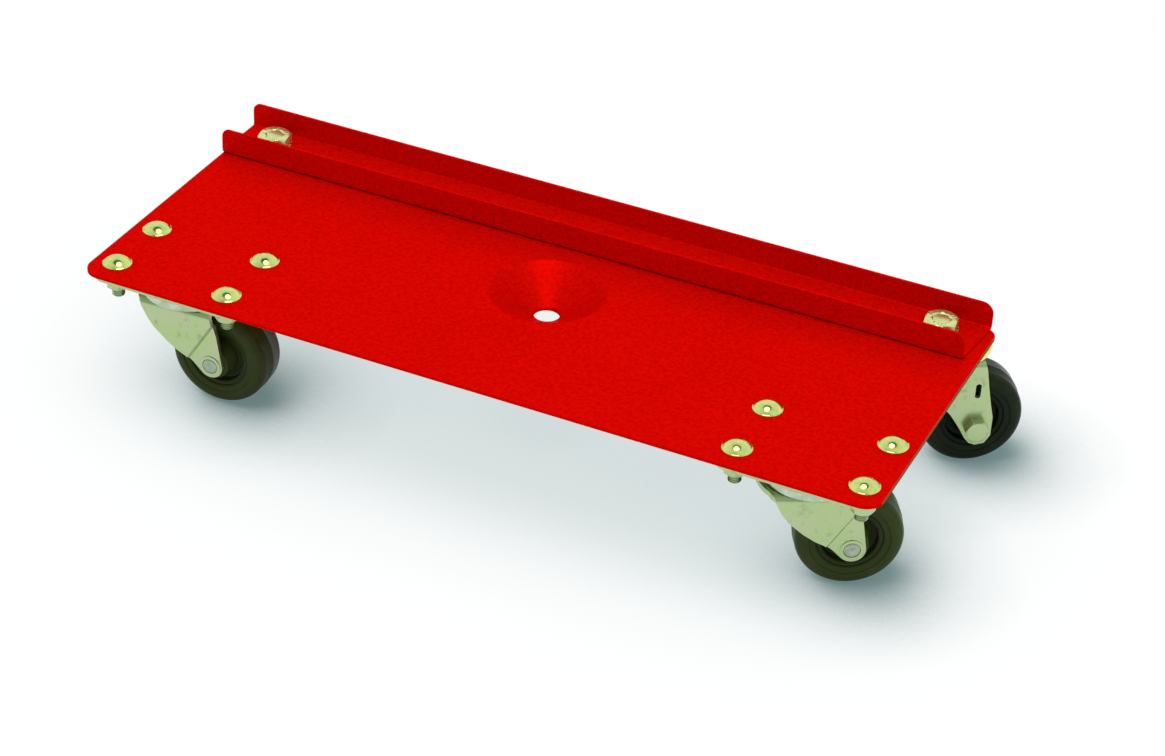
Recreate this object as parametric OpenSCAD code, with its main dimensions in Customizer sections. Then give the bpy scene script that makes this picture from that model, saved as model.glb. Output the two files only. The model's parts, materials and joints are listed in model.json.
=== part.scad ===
// Low rolling garage dolly: a pressed sheet-steel deck with a shallow drain dish, an open
// channel along its back edge, plate casters under the front corners and stem casters
// under the channel. The origin is on the floor below the middle of the deck, X runs along
// the deck, Y points to the channel and Z is up. Every size is in millimetres.

/* [Deck] */
// Length of the deck
deck_l = 510; // [460:5:600]
// Depth of the deck from its front edge to its back edge
deck_d = 207; // [200:1:240]
// Thickness of the deck sheet
deck_t = 2; // [1.6:0.1:2.2]
// Radius of the two front corners
front_corner_r = 12; // [6:1:13]
// Radius of the two back corners
back_corner_r = 10; // [2:1:12]

/* [Dish] */
// Distance of the dish from the middle of the deck, towards the channel
dish_y = 13.5; // [5:0.5:20]
// Radius of the dish where it meets the flat of the deck
dish_r = 36.5; // [32:0.5:40]
// Radius of the locating hole in the middle of the dish
dish_hole_r = 8; // [5:0.5:10]
// Depth of the dish down to the edge of its hole
dish_depth = 17; // [10:0.5:20]
// Radius of the rounded rim of the dish
dish_rim_r = 5; // [3:0.5:7]

/* [Channel] */
// Length of the channel in its middle, from its left end, which is flush with the deck
rail_l = 503; // [480:1:510]
// Width of the channel over its two walls
rail_w = 41.5; // [40:0.5:48]
// Height of the channel walls above the deck
rail_h = 17.5; // [14:0.5:24]
// Thickness of the channel sheet
rail_t = 2; // [1.6:0.1:2.4]
// Outer bend radius of the channel
rail_bend_r = 3; // [3:0.5:5]
// Radius of the upper corners at the left end of the walls
rail_left_r = 5; // [3:0.5:9]
// Radius of the upper corners at the right end of the walls
rail_right_r = 7.5; // [3:0.5:9]
// Angle by which the right end is cut out of square, the front wall being the shorter one
rail_skew = 6; // [0:1:8]

/* [Plate casters] */
// Length of the top plate, along the deck
plate_l = 96; // [94:1:100]
// Width of the top plate
plate_w = 78; // [70:1:80]
// Thickness of the top plate
plate_t = 3.5; // [3:0.1:4]
// Spacing of the plate bolts along the deck
bolt_dx = 76; // [74:0.5:78]
// Spacing of the plate bolts across the deck
bolt_dy = 45; // [44:0.5:50]
// Distance of the outer bolts from the end of the deck
bolt_inset = 14.5; // [14:0.5:20]
// Distance of the front bolts from the front edge
bolt_front = 19; // [17:0.5:24]

/* [Stem casters] */
// Distance of the stems from the ends of the channel
stem_inset = 24.5; // [22:0.5:30]
// Distance of the stems behind the middle of the channel
stem_back = 4; // [0:0.5:5]
// Radius of the threaded stem
stem_r = 6; // [5:0.5:6.5]
// Size across the flats of the stem nut
stem_nut_af = 19; // [17:1:20]
// Height of the stem nut
stem_nut_h = 6; // [5:0.5:12]

/* [Wheels] */
// Radius of the wheel
wheel_r = 31.75; // [30:0.25:32]
// Width of the tyre
wheel_w = 27; // [24:1:28]
// Distance of the axle behind the swivel axis
trail = 23; // [22:0.5:26]
// Depth of the axle below the top of the deck
axle_drop = 55.75; // [55.5:0.25:58]

/* [Rest position] */
// Direction in which each caster trails, counted from +X towards +Y
turn_front_left = 3; // [0:1:360]
turn_front_right = 28; // [0:1:360]
turn_rear_right = 32; // [0:1:360]
turn_rear_left = 148; // [0:1:360]

/* [Hidden] */
$fn = 72;
eps = 0.01;
// Running clearance of the wheel on its sleeve, and the gap round a fixed pin or nut
run_gap = 0.05;
// Gap between a ball and the race that moves past it
ball_gap = 0.3;
// Gap between a ball and its own race
ball_seat = 0.1;

// Heights above the floor
deck_top = wheel_r + axle_drop;
deck_low = deck_top - deck_t;
rail_floor = deck_top + rail_t;
plate_low = deck_low - plate_t;

// Plan positions
deck_back = deck_d / 2;
rail_x = (rail_l - deck_l) / 2;
rail_y = deck_back - rail_w / 2;
front_x = deck_l / 2 - bolt_inset - bolt_dx / 2;
front_y = -deck_d / 2 + bolt_front + bolt_dy / 2;
stem_dx = rail_l / 2 - stem_inset;
stem_y = rail_y + stem_back;

// Plate bolts and their nuts
bolt_r = 4;
bolt_neck = 8;
bolt_neck_h = 4;
bolt_head_r = 9;
bolt_head_h = 4.2;
bolt_low = deck_top - 22.5;
bolt_pitch = 1.25;
bolt_nut_af = 13;
bolt_nut_h = 8;
bolt_washer_r = 7.4;
bolt_washer_t = 2.5;
// Slots of the top plates, long enough for the square necks to pass their round ends
plate_slot_l = 13.6;
plate_slot_w = 9;
plate_corner_r = 10;

// Stem hardware
stem_pitch = 1.75;
stem_washer_r = 11;
stem_washer_t = 1;
stem_top = rail_floor + stem_washer_t + stem_nut_h - 0.8;

// Front swivel: a hat-shaped race under the plate, over a drum pressed up out of the fork
front_crown = deck_top - 18;
front_sheet = 3;
front_fork_w = 23.5;
front_plan_r = 32.5;
front_ball_r = 3;
front_ball_ring = 24.5;
front_ball_z = front_crown + 2.9;
front_race_r = 30;
front_drum_r = 20;
front_drum_h = 6.5;
front_low_ball_r = 2.4;
front_low_ring = 11.5;
front_low_ball_z = front_crown + front_drum_h - front_sheet - 2;
pin_r = 6;
pin_head_r = 9;
pin_head_h = 2.5;
pin_hole_r = pin_r + run_gap;
race_below_balls = 4;
upset_h = 3;
upset_r = 9.5;

// Diagonal step in each front leg, where the arm at the axle lies closer to the wheel
crease_x = 23;
crease_z = deck_top - 29;
crease_tilt = 32.5;
crease_run = 1.5;

// Rear swivel: a flat cap under the deck, over the crown of the fork
rear_crown = deck_top - 9.5;
rear_sheet = 2.5;
rear_fork_w = 21.5;
rear_plan_r = 31;
rear_ball_r = 2.9;
rear_ball_ring = 25;
rear_ball_z = rear_crown + 2.5;
rear_race_r = 32;
rear_low_ball_r = 2.4;
rear_low_ring = 12;
rear_low_ball_z = rear_crown - rear_sheet - 1.9;

// Wheel and axle
axle_z = wheel_r;
leg_in = 19;
arm_t = 3;
axle_r = 4.9;
sleeve_r = 6.9;
hub_half = 18.6;
hub_r = 10.5;
core_r = 19;
shoulder_r = 6;
axle_hex_af = 13;
axle_head_h = 6;

paint_red = [0.80, 0.02, 0.02];
zinc = [0.72, 0.77, 0.62];
bright_zinc = [0.80, 0.82, 0.70];
ball_steel = [0.75, 0.76, 0.78];
front_rubber = [0.20, 0.22, 0.12];
rear_rubber = [0.09, 0.11, 0.09];

// ---- Shared shapes ----

// Points of a circular arc
function arc(cx, cy, r, from, to, steps = 8) =
    [for (i = [0:steps]) let (a = from + (to - from) * i / steps) [cx + r * cos(a), cy + r * sin(a)]];

// Rectangle centred on the origin, with one radius for the two low corners and one for the high
module rounded_sheet(l, d, low_r, high_r) {
    half_sheet(l, d, low_r);
    mirror([0, 1]) half_sheet(l, d, high_r);
}

// The half of a rectangle below the X axis, its two outer corners rounded
module half_sheet(l, d, r) {
    translate([r - l / 2, -d / 2]) square([l - 2 * r, d / 2]);
    translate([-l / 2, r - d / 2]) square([l, d / 2 - r]);
    if (r > 0)
        for (side = [-1, 1])
            translate([side * (l / 2 - r), r - d / 2]) circle(r);
}

// Oblong slot along X
module slot(length, width) {
    square([length - width, width], center = true);
    for (side = [-1, 1])
        translate([side * (length - width) / 2, 0]) circle(width / 2);
}

// Hexagonal prism with chamfered corners, from z = 0 up
module hex_prism(af, h) {
    corner_r = af / 2 / cos(30);
    chamfer = (corner_r - af / 2) * 0.6;
    intersection() {
        cylinder(r = corner_r, h = h, $fn = 6);
        rotate_extrude()
            polygon([
                [0, 0], [corner_r - chamfer, 0], [corner_r, chamfer * 0.6],
                [corner_r, h - chamfer * 0.6], [corner_r - chamfer, h], [0, h]
            ]);
    }
}

// Rod with ring-shaped threads over its length, from z = 0 up, its upper end chamfered
module threaded_rod(r, pitch, length) {
    rings = floor(length / pitch - 0.5);
    depth = pitch * 0.45;
    rotate_extrude()
        polygon(concat(
            [[0, 0], [r - depth, 0]],
            [for (i = [0:rings - 1]) each [[r, (i + 0.5) * pitch], [r - depth, (i + 1) * pitch]]],
            [[r - depth, length], [0, length]]
        ));
}

// Split spring washer with its ends cut apart, from z = 0 up
module spring_washer(hole_r, outer_r, t) {
    difference() {
        cylinder(r = outer_r, h = t);
        translate([0, 0, -eps]) cylinder(r = hole_r, h = t + 2 * eps);
        translate([outer_r / 2 + hole_r / 2, 0, t / 2])
            rotate([35, 0, 0]) cube([outer_r, 1, 3 * t], center = true);
    }
}

// Ring of balls
module ball_ring(r, ring_r, z) {
    count = floor(2 * PI * ring_r / (2 * r + 0.6));
    for (i = [0:count - 1])
        rotate([0, 0, 360 * i / count])
            translate([ring_r, 0, z]) sphere(r);
}

// Ring-shaped track that a ball row runs in
module ball_track(r, ring_r, z) {
    rotate_extrude() translate([ring_r, z]) circle(r, $fn = 48);
}

// Puts a caster's parts at its swivel axis and turns them to its rest direction
module at_caster(x, y, turn) {
    translate([x, y, 0]) rotate([0, 0, turn]) children();
}

module at_front_left() { at_caster(-front_x, front_y, turn_front_left) children(); }
module at_front_right() { at_caster(front_x, front_y, turn_front_right) children(); }
module at_rear_left() { at_caster(rail_x - stem_dx, stem_y, turn_rear_left) children(); }
module at_rear_right() { at_caster(rail_x + stem_dx, stem_y, turn_rear_right) children(); }

// The eight places of the plate bolts
module at_bolts() {
    for (side = [-1, 1])
        for (bx = [-1, 1])
            for (by = [-1, 1])
                translate([side * front_x + bx * bolt_dx / 2, front_y + by * bolt_dy / 2, 0]) children();
}

// The two places of the stems
module at_stems() {
    for (side = [-1, 1])
        translate([rail_x + side * stem_dx, stem_y, 0]) children();
}

// ---- Deck and channel ----

// Section of the dish: a cone of even thickness that leaves the flat in a rounded rim
module dish_shell() {
    slope = atan(dish_depth / (dish_r - dish_hole_r));
    rim_x = dish_r + dish_rim_r * tan(slope / 2);
    rim_z = deck_top - dish_rim_r;
    top = arc(rim_x, rim_z, dish_rim_r, 90, 90 + slope);
    low = arc(rim_x, rim_z, dish_rim_r - deck_t, 90 + slope, 90);
    top_end = top[len(top) - 1];
    hole_top = top_end[1] - (top_end[0] - dish_hole_r) * tan(slope);
    hole_low = low[0][1] - (low[0][0] - dish_hole_r) * tan(slope);
    translate([0, dish_y, 0])
        rotate_extrude()
            polygon(concat(
                [[rim_x + 3, deck_top]], top,
                [[dish_hole_r, hole_top], [dish_hole_r, hole_low]],
                low, [[rim_x + 3, deck_low]]
            ));
}

// Flat deck with its dish, the square holes of the plate bolts and the holes of the stems
module deck_plate() {
    color(paint_red) {
        difference() {
            translate([0, 0, deck_low])
                linear_extrude(deck_t) rounded_sheet(deck_l, deck_d, front_corner_r, back_corner_r);
            translate([0, dish_y, deck_low - eps]) cylinder(r = dish_r + 2.5, h = deck_t + 2 * eps);
            at_bolts()
                translate([0, 0, deck_low + deck_t / 2])
                    cube([bolt_neck + 0.3, bolt_neck + 0.3, deck_t + 2 * eps], center = true);
            at_stems()
                translate([0, 0, deck_low - eps]) cylinder(r = stem_r + 0.25, h = deck_t + 2 * eps);
        }
        dish_shell();
    }
}

// Section of the channel: a floor and two walls with rounded bends
module channel_section() {
    difference() {
        translate([-rail_w / 2, 0]) {
            translate([rail_bend_r, 0]) square([rail_w - 2 * rail_bend_r, rail_h]);
            translate([0, rail_bend_r]) square([rail_w, rail_h - rail_bend_r]);
            for (x = [rail_bend_r, rail_w - rail_bend_r])
                translate([x, rail_bend_r]) circle(rail_bend_r);
        }
        translate([-rail_w / 2 + rail_t, rail_t]) {
            translate([rail_bend_r - rail_t, 0])
                square([rail_w - 2 * rail_bend_r, rail_h]);
            translate([0, rail_bend_r - rail_t])
                square([rail_w - 2 * rail_t, rail_h]);
            for (x = [rail_bend_r - rail_t, rail_w - rail_bend_r - rail_t])
                translate([x, rail_bend_r - rail_t]) circle(rail_bend_r - rail_t);
        }
    }
}

// Block that trims the channel: it ends upright at x = 0, with its upper corner rounded
module rail_trim(corner_r) {
    rotate([90, 0, 0])
        linear_extrude(deck_l, center = true)
            translate([-deck_l, 0]) rounded_sheet(2 * deck_l, 2 * rail_h, 0, corner_r);
}

// Channel along the back edge: square and flush with the deck on the left, out of square
// and a little short of the deck's end on the right
module guide_channel() {
    color(paint_red)
        difference() {
            intersection() {
                translate([0, rail_y, deck_top])
                    rotate([90, 0, 90]) linear_extrude(deck_l + rail_w, center = true) channel_section();
                translate([-deck_l / 2, rail_y, deck_top])
                    mirror([1, 0, 0]) rail_trim(rail_left_r);
                translate([rail_x + rail_l / 2, rail_y, deck_top])
                    rotate([0, 0, -rail_skew]) rail_trim(rail_right_r);
            }
            at_stems()
                translate([0, 0, deck_top - eps]) cylinder(r = stem_r + 0.25, h = rail_t + 2 * eps);
        }
}

// ---- Fasteners of the deck ----

// Bolts with a domed head, a square neck and a threaded shank
module carriage_bolts() {
    dome_r = (bolt_head_r * bolt_head_r + bolt_head_h * bolt_head_h) / (2 * bolt_head_h);
    shank = deck_top - bolt_neck_h - bolt_low;
    color(bright_zinc)
        at_bolts() {
            intersection() {
                translate([0, 0, deck_top + bolt_head_h - dome_r]) sphere(dome_r);
                translate([0, 0, deck_top]) cylinder(r = bolt_head_r, h = bolt_head_h);
            }
            translate([0, 0, deck_top - bolt_neck_h / 2])
                cube([bolt_neck, bolt_neck, bolt_neck_h], center = true);
            translate([0, 0, deck_top - bolt_neck_h])
                mirror([0, 0, 1]) threaded_rod(bolt_r, bolt_pitch, shank);
        }
}

// Spring washers under the nuts of the plate bolts
module bolt_washers() {
    color(zinc)
        at_bolts()
            translate([0, 0, plate_low - bolt_washer_t])
                spring_washer(bolt_r + 2 * run_gap, bolt_washer_r, bolt_washer_t);
}

// Nuts of the plate bolts
module bolt_nuts() {
    color(zinc)
        at_bolts()
            translate([0, 0, plate_low - bolt_washer_t - bolt_nut_h])
                difference() {
                    hex_prism(bolt_nut_af, bolt_nut_h);
                    translate([0, 0, -eps]) cylinder(r = bolt_r + run_gap, h = bolt_nut_h + 2 * eps);
                }
}

// Spring washers on the floor of the channel
module stem_washers() {
    color(zinc)
        at_stems()
            translate([0, 0, rail_floor])
                rotate([0, 0, 20]) spring_washer(stem_r + 2 * run_gap, stem_washer_r, stem_washer_t);
}

// Nuts that hold the stems, countersunk round the thread
module stem_nuts() {
    color(zinc)
        at_stems()
            translate([0, 0, rail_floor + stem_washer_t])
                rotate([0, 0, 6])
                    difference() {
                        hex_prism(stem_nut_af, stem_nut_h);
                        translate([0, 0, -eps]) cylinder(r = stem_r + run_gap, h = stem_nut_h + 2 * eps);
                        translate([0, 0, stem_nut_h - 1])
                            cylinder(r1 = stem_r + run_gap, r2 = stem_r + 1.2, h = 1 + eps);
                    }
}

// ---- Front casters: swivel ----

// Plate of a front caster, with four slots for the bolts and a countersunk pin hole
module top_plate() {
    color(zinc)
        difference() {
            translate([0, 0, plate_low])
                linear_extrude(plate_t)
                    difference() {
                        rounded_sheet(plate_l, plate_w, plate_corner_r, plate_corner_r);
                        for (bx = [-1, 1])
                            for (by = [-1, 1])
                                translate([bx * bolt_dx / 2, by * bolt_dy / 2])
                                    slot(plate_slot_l, plate_slot_w);
                    }
            translate([0, 0, plate_low - eps]) cylinder(r = pin_hole_r, h = plate_t + 2 * eps);
            translate([0, 0, deck_low - pin_head_h])
                cylinder(r1 = pin_hole_r, r2 = pin_head_r + run_gap, h = pin_head_h + eps);
        }
}

// Hat-shaped race: its middle lies on the plate and its skirt covers the balls
module front_upper_race() {
    sheet = 2.4;
    roof = front_crown + 8;
    skirt_low = front_crown + 0.4;
    inner_r = front_race_r - 2.1;
    color(bright_zinc)
        difference() {
            rotate_extrude()
                polygon(concat(
                    [[pin_hole_r, plate_low], [18.5, plate_low], [21.5, roof]],
                    arc(front_race_r - 4, roof - 4, 4, 90, 0, 6),
                    [
                        [front_race_r, skirt_low + 0.8], [front_race_r - 0.8, skirt_low],
                        [inner_r, skirt_low], [inner_r, roof - sheet], [21, roof - sheet],
                        [17.6, plate_low - sheet], [pin_hole_r, plate_low - sheet]
                    ]
                ));
            ball_track(front_ball_r + ball_seat, front_ball_ring, front_ball_z);
        }
}

// Lower end of a pin, hammered out to a button under the lower race at height race_low
module upset_end(race_low) {
    translate([0, 0, race_low - upset_h])
        rotate_extrude()
            polygon([
                [0, 0], [upset_r - 2.5, 0], [upset_r - 0.5, upset_h * 0.4], [upset_r, upset_h], [0, upset_h]
            ]);
}

// Rivet that holds plate, races and fork together: flush above, upset below
module kingpin() {
    race_low = front_low_ball_z - race_below_balls;
    color(zinc) {
        translate([0, 0, race_low - 1])
            cylinder(r = pin_r, h = deck_low - race_low + 1 - eps);
        translate([0, 0, deck_low - pin_head_h])
            cylinder(r1 = pin_r, r2 = pin_head_r, h = pin_head_h - eps);
        upset_end(race_low);
    }
}

// Balls between the fork's crown and the race above it
module front_upper_balls() {
    color(ball_steel) ball_ring(front_ball_r, front_ball_ring, front_ball_z);
}

// Balls between the fork's drum and the race below it
module front_lower_balls() {
    color(ball_steel) ball_ring(front_low_ball_r, front_low_ring, front_low_ball_z);
}

// Dished washer that carries the lower ball row
module lower_race(ball_r, ring_r, ball_z, hole_r, edge_r) {
    low = ball_z - race_below_balls;
    color(zinc)
        difference() {
            rotate_extrude()
                polygon([
                    [hole_r, low], [edge_r - 1, low], [edge_r, low + 1],
                    [edge_r, low + 2], [hole_r, low + 2]
                ]);
            ball_track(ball_r + ball_seat, ring_r, ball_z);
        }
}

// Lower race of a front caster
module front_lower_race() {
    lower_race(front_low_ball_r, front_low_ring, front_low_ball_z, pin_hole_r, 13.8);
}

// ---- Front casters: fork and axle ----

// Section across a bent fork: a flat crown and two legs with rounded bends
module fork_section(top, half_w, sheet, bend_r) {
    reach = top + 5;
    difference() {
        bridge_shape(top, half_w, bend_r, reach);
        bridge_shape(top - sheet, half_w - sheet, bend_r - sheet, reach);
    }
}

// Filled outline of a bridge with rounded upper corners
module bridge_shape(top, half_w, bend_r, reach) {
    translate([-half_w, top - reach]) square([2 * half_w, reach - bend_r]);
    translate([-half_w + bend_r, top - reach]) square([2 * (half_w - bend_r), reach]);
    for (side = [-1, 1])
        translate([side * (half_w - bend_r), top - bend_r]) circle(bend_r);
}

// A fork bent from sheet: its section, its outline from the side and its outline from above
module bent_fork(top, half_w, sheet, plan_r, plan_back, outline) {
    intersection() {
        rotate([90, 0, 90])
            linear_extrude(140, center = true) fork_section(top, half_w, sheet, sheet + 2.5);
        rotate([90, 0, 0]) linear_extrude(100, center = true) polygon(outline);
        union() {
            cylinder(r = plan_r, h = 2 * deck_top, center = true);
            translate([0, -half_w, -deck_top]) cube([plan_back, 2 * half_w, 2 * deck_top]);
        }
    }
}

// Outline of a front fork from the side: wide under the crown, with a round end at the axle
function front_outline() = concat(
    [
        [-40, front_crown + 1], [-40, front_crown - 2.6], [-23, front_crown - 4.5],
        [-18.5, deck_top - 31], [-14, deck_top - 37], [-5.5, deck_top - 44.5],
        [1.5, deck_top - 49.3], [7, deck_top - 52], [11.5, deck_top - 55.5]
    ],
    arc(trail, axle_z, 8, 218, 368, 12),
    [[27.5, deck_top - 34], [23.5, front_crown - 3], [22.5, front_crown + 1]]
);

// Places children on the diagonal crease of the leg
module at_crease() {
    translate([crease_x, 0, crease_z]) rotate([0, crease_tilt, 0]) children();
}

// Sheet of one leg on both sides of the step
module stepped_leg() {
    arm_out = leg_in + arm_t;
    upper_in = front_fork_w - front_sheet;
    at_crease()
        linear_extrude(140, center = true)
            polygon([
                [-1, front_fork_w], [0, front_fork_w], [crease_run, arm_out], [60, arm_out],
                [60, leg_in], [crease_run, leg_in], [0, upper_in], [-1, upper_in]
            ]);
}

// Drum pressed up out of the crown, with the pin hole in its roof
module crown_drum() {
    top = front_crown + front_drum_h;
    rotate_extrude()
        polygon([
            [pin_r + 1, top], [16.5, top], [17.5, top - 1], [front_drum_r + 0.5, front_crown],
            [front_drum_r + 0.5, front_crown - front_sheet], [17.5, front_crown - front_sheet],
            [14.6, top - front_sheet], [pin_r + 1, top - front_sheet]
        ]);
}

// Fork pressed from sheet, with stepped legs, a drum and a collar round each axle end
module front_fork() {
    collar_r = 6.8;
    collar_out = leg_in + arm_t + 0.5;
    color(zinc)
        difference() {
            union() {
                difference() {
                    intersection() {
                        bent_fork(front_crown, front_fork_w, front_sheet, front_plan_r, 36, front_outline());
                        at_crease() translate([-150, -40, -80]) cube([150, 80, 160]);
                    }
                    translate([0, 0, front_crown - front_sheet - eps])
                        cylinder(r = front_drum_r, h = front_sheet + 2 * eps);
                }
                intersection() {
                    rotate([90, 0, 0]) linear_extrude(100, center = true) polygon(front_outline());
                    union() {
                        stepped_leg();
                        mirror([0, 1, 0]) stepped_leg();
                    }
                }
                crown_drum();
                translate([trail, 0, axle_z])
                    rotate([90, 0, 0])
                        difference() {
                            cylinder(r = collar_r, h = 2 * collar_out, center = true);
                            cylinder(r = collar_r + 1, h = 2 * (leg_in + 1), center = true);
                        }
            }
            translate([trail, 0, axle_z])
                rotate([90, 0, 0]) cylinder(r = axle_r + run_gap, h = 100, center = true);
            ball_track(front_ball_r + ball_gap, front_ball_ring, front_ball_z);
            ball_track(front_low_ball_r + ball_gap, front_low_ring, front_low_ball_z);
        }
}

// Axle rivet, its two ends chamfered
module front_axle_rivet() {
    end = leg_in + arm_t + 0.9;
    color(zinc)
        translate([trail, 0, axle_z])
            rotate([90, 0, 0]) {
                cylinder(r = axle_r, h = 2 * end - 1, center = true);
                for (side = [0, 1])
                    mirror([0, 0, side])
                        translate([0, 0, end - 0.5]) cylinder(r1 = axle_r, r2 = axle_r - 0.5, h = 0.5);
            }
}

// Sleeve between the legs that carries the hub
module axle_sleeve() {
    color(ball_steel)
        translate([trail, 0, axle_z])
            rotate([90, 0, 0])
                difference() {
                    cylinder(r = sleeve_r, h = 2 * leg_in, center = true);
                    cylinder(r = axle_r + run_gap, h = 2 * leg_in + 2 * eps, center = true);
                }
}

// ---- Wheels ----

// Core: a hub tube, a web and a rim that holds the tyre
module wheel_core(tint) {
    web = 6.5;
    rim = 11.5;
    rim_in = core_r - 2.6;
    color(tint)
        translate([trail, 0, axle_z])
            rotate([90, 0, 0])
                rotate_extrude()
                    polygon([
                        [sleeve_r + run_gap, -hub_half], [hub_r - 1, -hub_half], [hub_r - 0.3, -hub_half + 1],
                        [hub_r + 0.7, -web - 1], [hub_r + 1.7, -web], [rim_in - 1, -web], [rim_in, -web - 1],
                        [rim_in, -rim + 0.6], [rim_in + 0.6, -rim], [core_r, -rim],
                        [core_r, rim], [rim_in + 0.6, rim], [rim_in, rim - 0.6],
                        [rim_in, web + 1], [rim_in - 1, web], [hub_r + 1.7, web], [hub_r + 0.7, web + 1],
                        [hub_r - 0.3, hub_half - 1], [hub_r - 1, hub_half], [sleeve_r + run_gap, hub_half]
                    ]);
}

// Tyre: a slightly crowned tread, round shoulders and a shallow step in each side wall
module tyre(tint) {
    half = wheel_w / 2;
    wall_in = core_r + run_gap;
    tread_edge = 0.35;
    lower = arc(wheel_r - tread_edge - shoulder_r, -half + shoulder_r, shoulder_r, -90, -6, 8);
    upper = arc(wheel_r - tread_edge - shoulder_r, half - shoulder_r, shoulder_r, 6, 90, 8);
    color(tint)
        translate([trail, 0, axle_z])
            rotate([90, 0, 0])
                rotate_extrude()
                    polygon(concat(
                        [
                            [wall_in, -half + 1.8], [wall_in + 1.5, -half + 1],
                            [wall_in + 4, -half + 0.9], [wall_in + 4.6, -half]
                        ],
                        lower, [[wheel_r, 0]], upper,
                        [
                            [wall_in + 4.6, half], [wall_in + 4, half - 0.9],
                            [wall_in + 1.5, half - 1], [wall_in, half - 1.8]
                        ]
                    ));
}

// ---- Rear casters ----

// Threaded stem with a shoulder under the deck and an upset end below the lower race
module stem() {
    race_low = rear_low_ball_z - race_below_balls;
    color(bright_zinc) {
        translate([0, 0, deck_low - 2.5 - eps])
            mirror([0, 0, 1]) cylinder(r = pin_r, h = deck_low - 2.5 - race_low + 1);
        translate([0, 0, deck_low - 3]) cylinder(r = stem_r - 0.4, h = 3 + eps);
        translate([0, 0, deck_low]) threaded_rod(stem_r, stem_pitch, stem_top - deck_low);
        upset_end(race_low);
    }
}

// Flat cap that lies against the deck, with a skirt over the balls
module rear_upper_race() {
    sheet = 2.5;
    skirt_low = rear_crown + 2.4;
    inner_r = rear_race_r - 2.1;
    color(bright_zinc)
        difference() {
            rotate_extrude()
                polygon(concat(
                    [[stem_r + run_gap, deck_low]],
                    arc(rear_race_r - 3.5, deck_low - 3.5, 3.5, 90, 0, 6),
                    [
                        [rear_race_r, skirt_low + 0.6], [rear_race_r - 0.6, skirt_low],
                        [inner_r, skirt_low], [inner_r, deck_low - sheet],
                        [stem_r + run_gap, deck_low - sheet]
                    ]
                ));
            ball_track(rear_ball_r + ball_seat, rear_ball_ring, rear_ball_z);
        }
}

// Balls between the cap and the fork's crown
module rear_upper_balls() {
    color(ball_steel) ball_ring(rear_ball_r, rear_ball_ring, rear_ball_z);
}

// Balls between the fork's crown and the lower race
module rear_lower_balls() {
    color(ball_steel) ball_ring(rear_low_ball_r, rear_low_ring, rear_low_ball_z);
}

// Lower race of a rear caster
module rear_lower_race() {
    lower_race(rear_low_ball_r, rear_low_ring, rear_low_ball_z, pin_hole_r, 15);
}

// Outline of a rear fork from the side: a tall leg with a cut-off end
function rear_outline() = [
    [-40, rear_crown + 1], [-40, rear_crown - 2.2], [-22, rear_crown - 5],
    [-17, deck_top - 24], [-8, deck_top - 33], [4, deck_top - 43.5], [6.8, deck_top - 46.6],
    [10, deck_top - 51.5], [13.3, deck_top - 56.7], [17, deck_top - 63.4], [20, deck_top - 67],
    [24, deck_top - 68.5], [29.5, deck_top - 67.3], [32.8, deck_top - 62], [32.8, deck_top - 49],
    [30.6, deck_top - 39.5], [28.2, deck_top - 27.5], [26.1, deck_top - 15.5],
    [24.6, rear_crown - 1], [24.4, rear_crown + 1]
];

// Fork bent from sheet, with a small slot and an axle hole in each leg
module rear_fork() {
    color(zinc)
        difference() {
            bent_fork(rear_crown, rear_fork_w, rear_sheet, rear_plan_r, 36, rear_outline());
            translate([0, 0, rear_crown - rear_sheet - eps])
                cylinder(r = pin_r + 1, h = rear_sheet + 2 * eps);
            translate([21.8, 0, deck_top - 29.8])
                rotate([90, 0, 0])
                    linear_extrude(100, center = true) rotate([0, 0, 90]) slot(10, 3.4);
            translate([trail, 0, axle_z])
                rotate([90, 0, 0]) cylinder(r = axle_r + run_gap, h = 100, center = true);
            ball_track(rear_ball_r + ball_gap, rear_ball_ring, rear_ball_z);
            ball_track(rear_low_ball_r + ball_gap, rear_low_ring, rear_low_ball_z);
        }
}

// Hexagon bolt through both legs of a rear fork, its head on the outer side
module rear_axle_bolt() {
    color(zinc)
        translate([trail, 0, axle_z])
            rotate([90, 0, 0]) {
                translate([0, 0, rear_fork_w])
                    hex_prism(axle_hex_af, axle_head_h);
                translate([0, 0, -rear_fork_w - 9])
                    cylinder(r = axle_r, h = 2 * rear_fork_w + 9 + eps);
            }
}

// Nut on the inner end of a rear axle bolt
module rear_axle_nut() {
    height = 7;
    color(zinc)
        translate([trail, 0, axle_z])
            rotate([90, 0, 0])
                translate([0, 0, -rear_fork_w - height])
                    difference() {
                        hex_prism(axle_hex_af + 2, height);
                        translate([0, 0, -eps]) cylinder(r = axle_r + run_gap, h = height + 2 * eps);
                    }
}

// ---- Output ----

deck_plate();
guide_channel();
carriage_bolts();
bolt_washers();
bolt_nuts();
stem_washers();
stem_nuts();

at_caster(-front_x, front_y, 0) top_plate();  // front_left_top_plate
at_front_left() front_upper_race();  // front_left_upper_race
at_front_left() kingpin();  // front_left_kingpin
at_front_left() front_upper_balls();  // front_left_upper_balls
at_front_left() front_lower_balls();  // front_left_lower_balls
at_front_left() front_lower_race();  // front_left_lower_race
at_front_left() front_fork();  // front_left_fork
at_front_left() front_axle_rivet();  // front_left_axle_rivet
at_front_left() axle_sleeve();  // front_left_axle_sleeve
at_front_left() wheel_core(front_rubber);  // front_left_wheel_core
at_front_left() tyre(front_rubber);  // front_left_tyre

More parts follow.
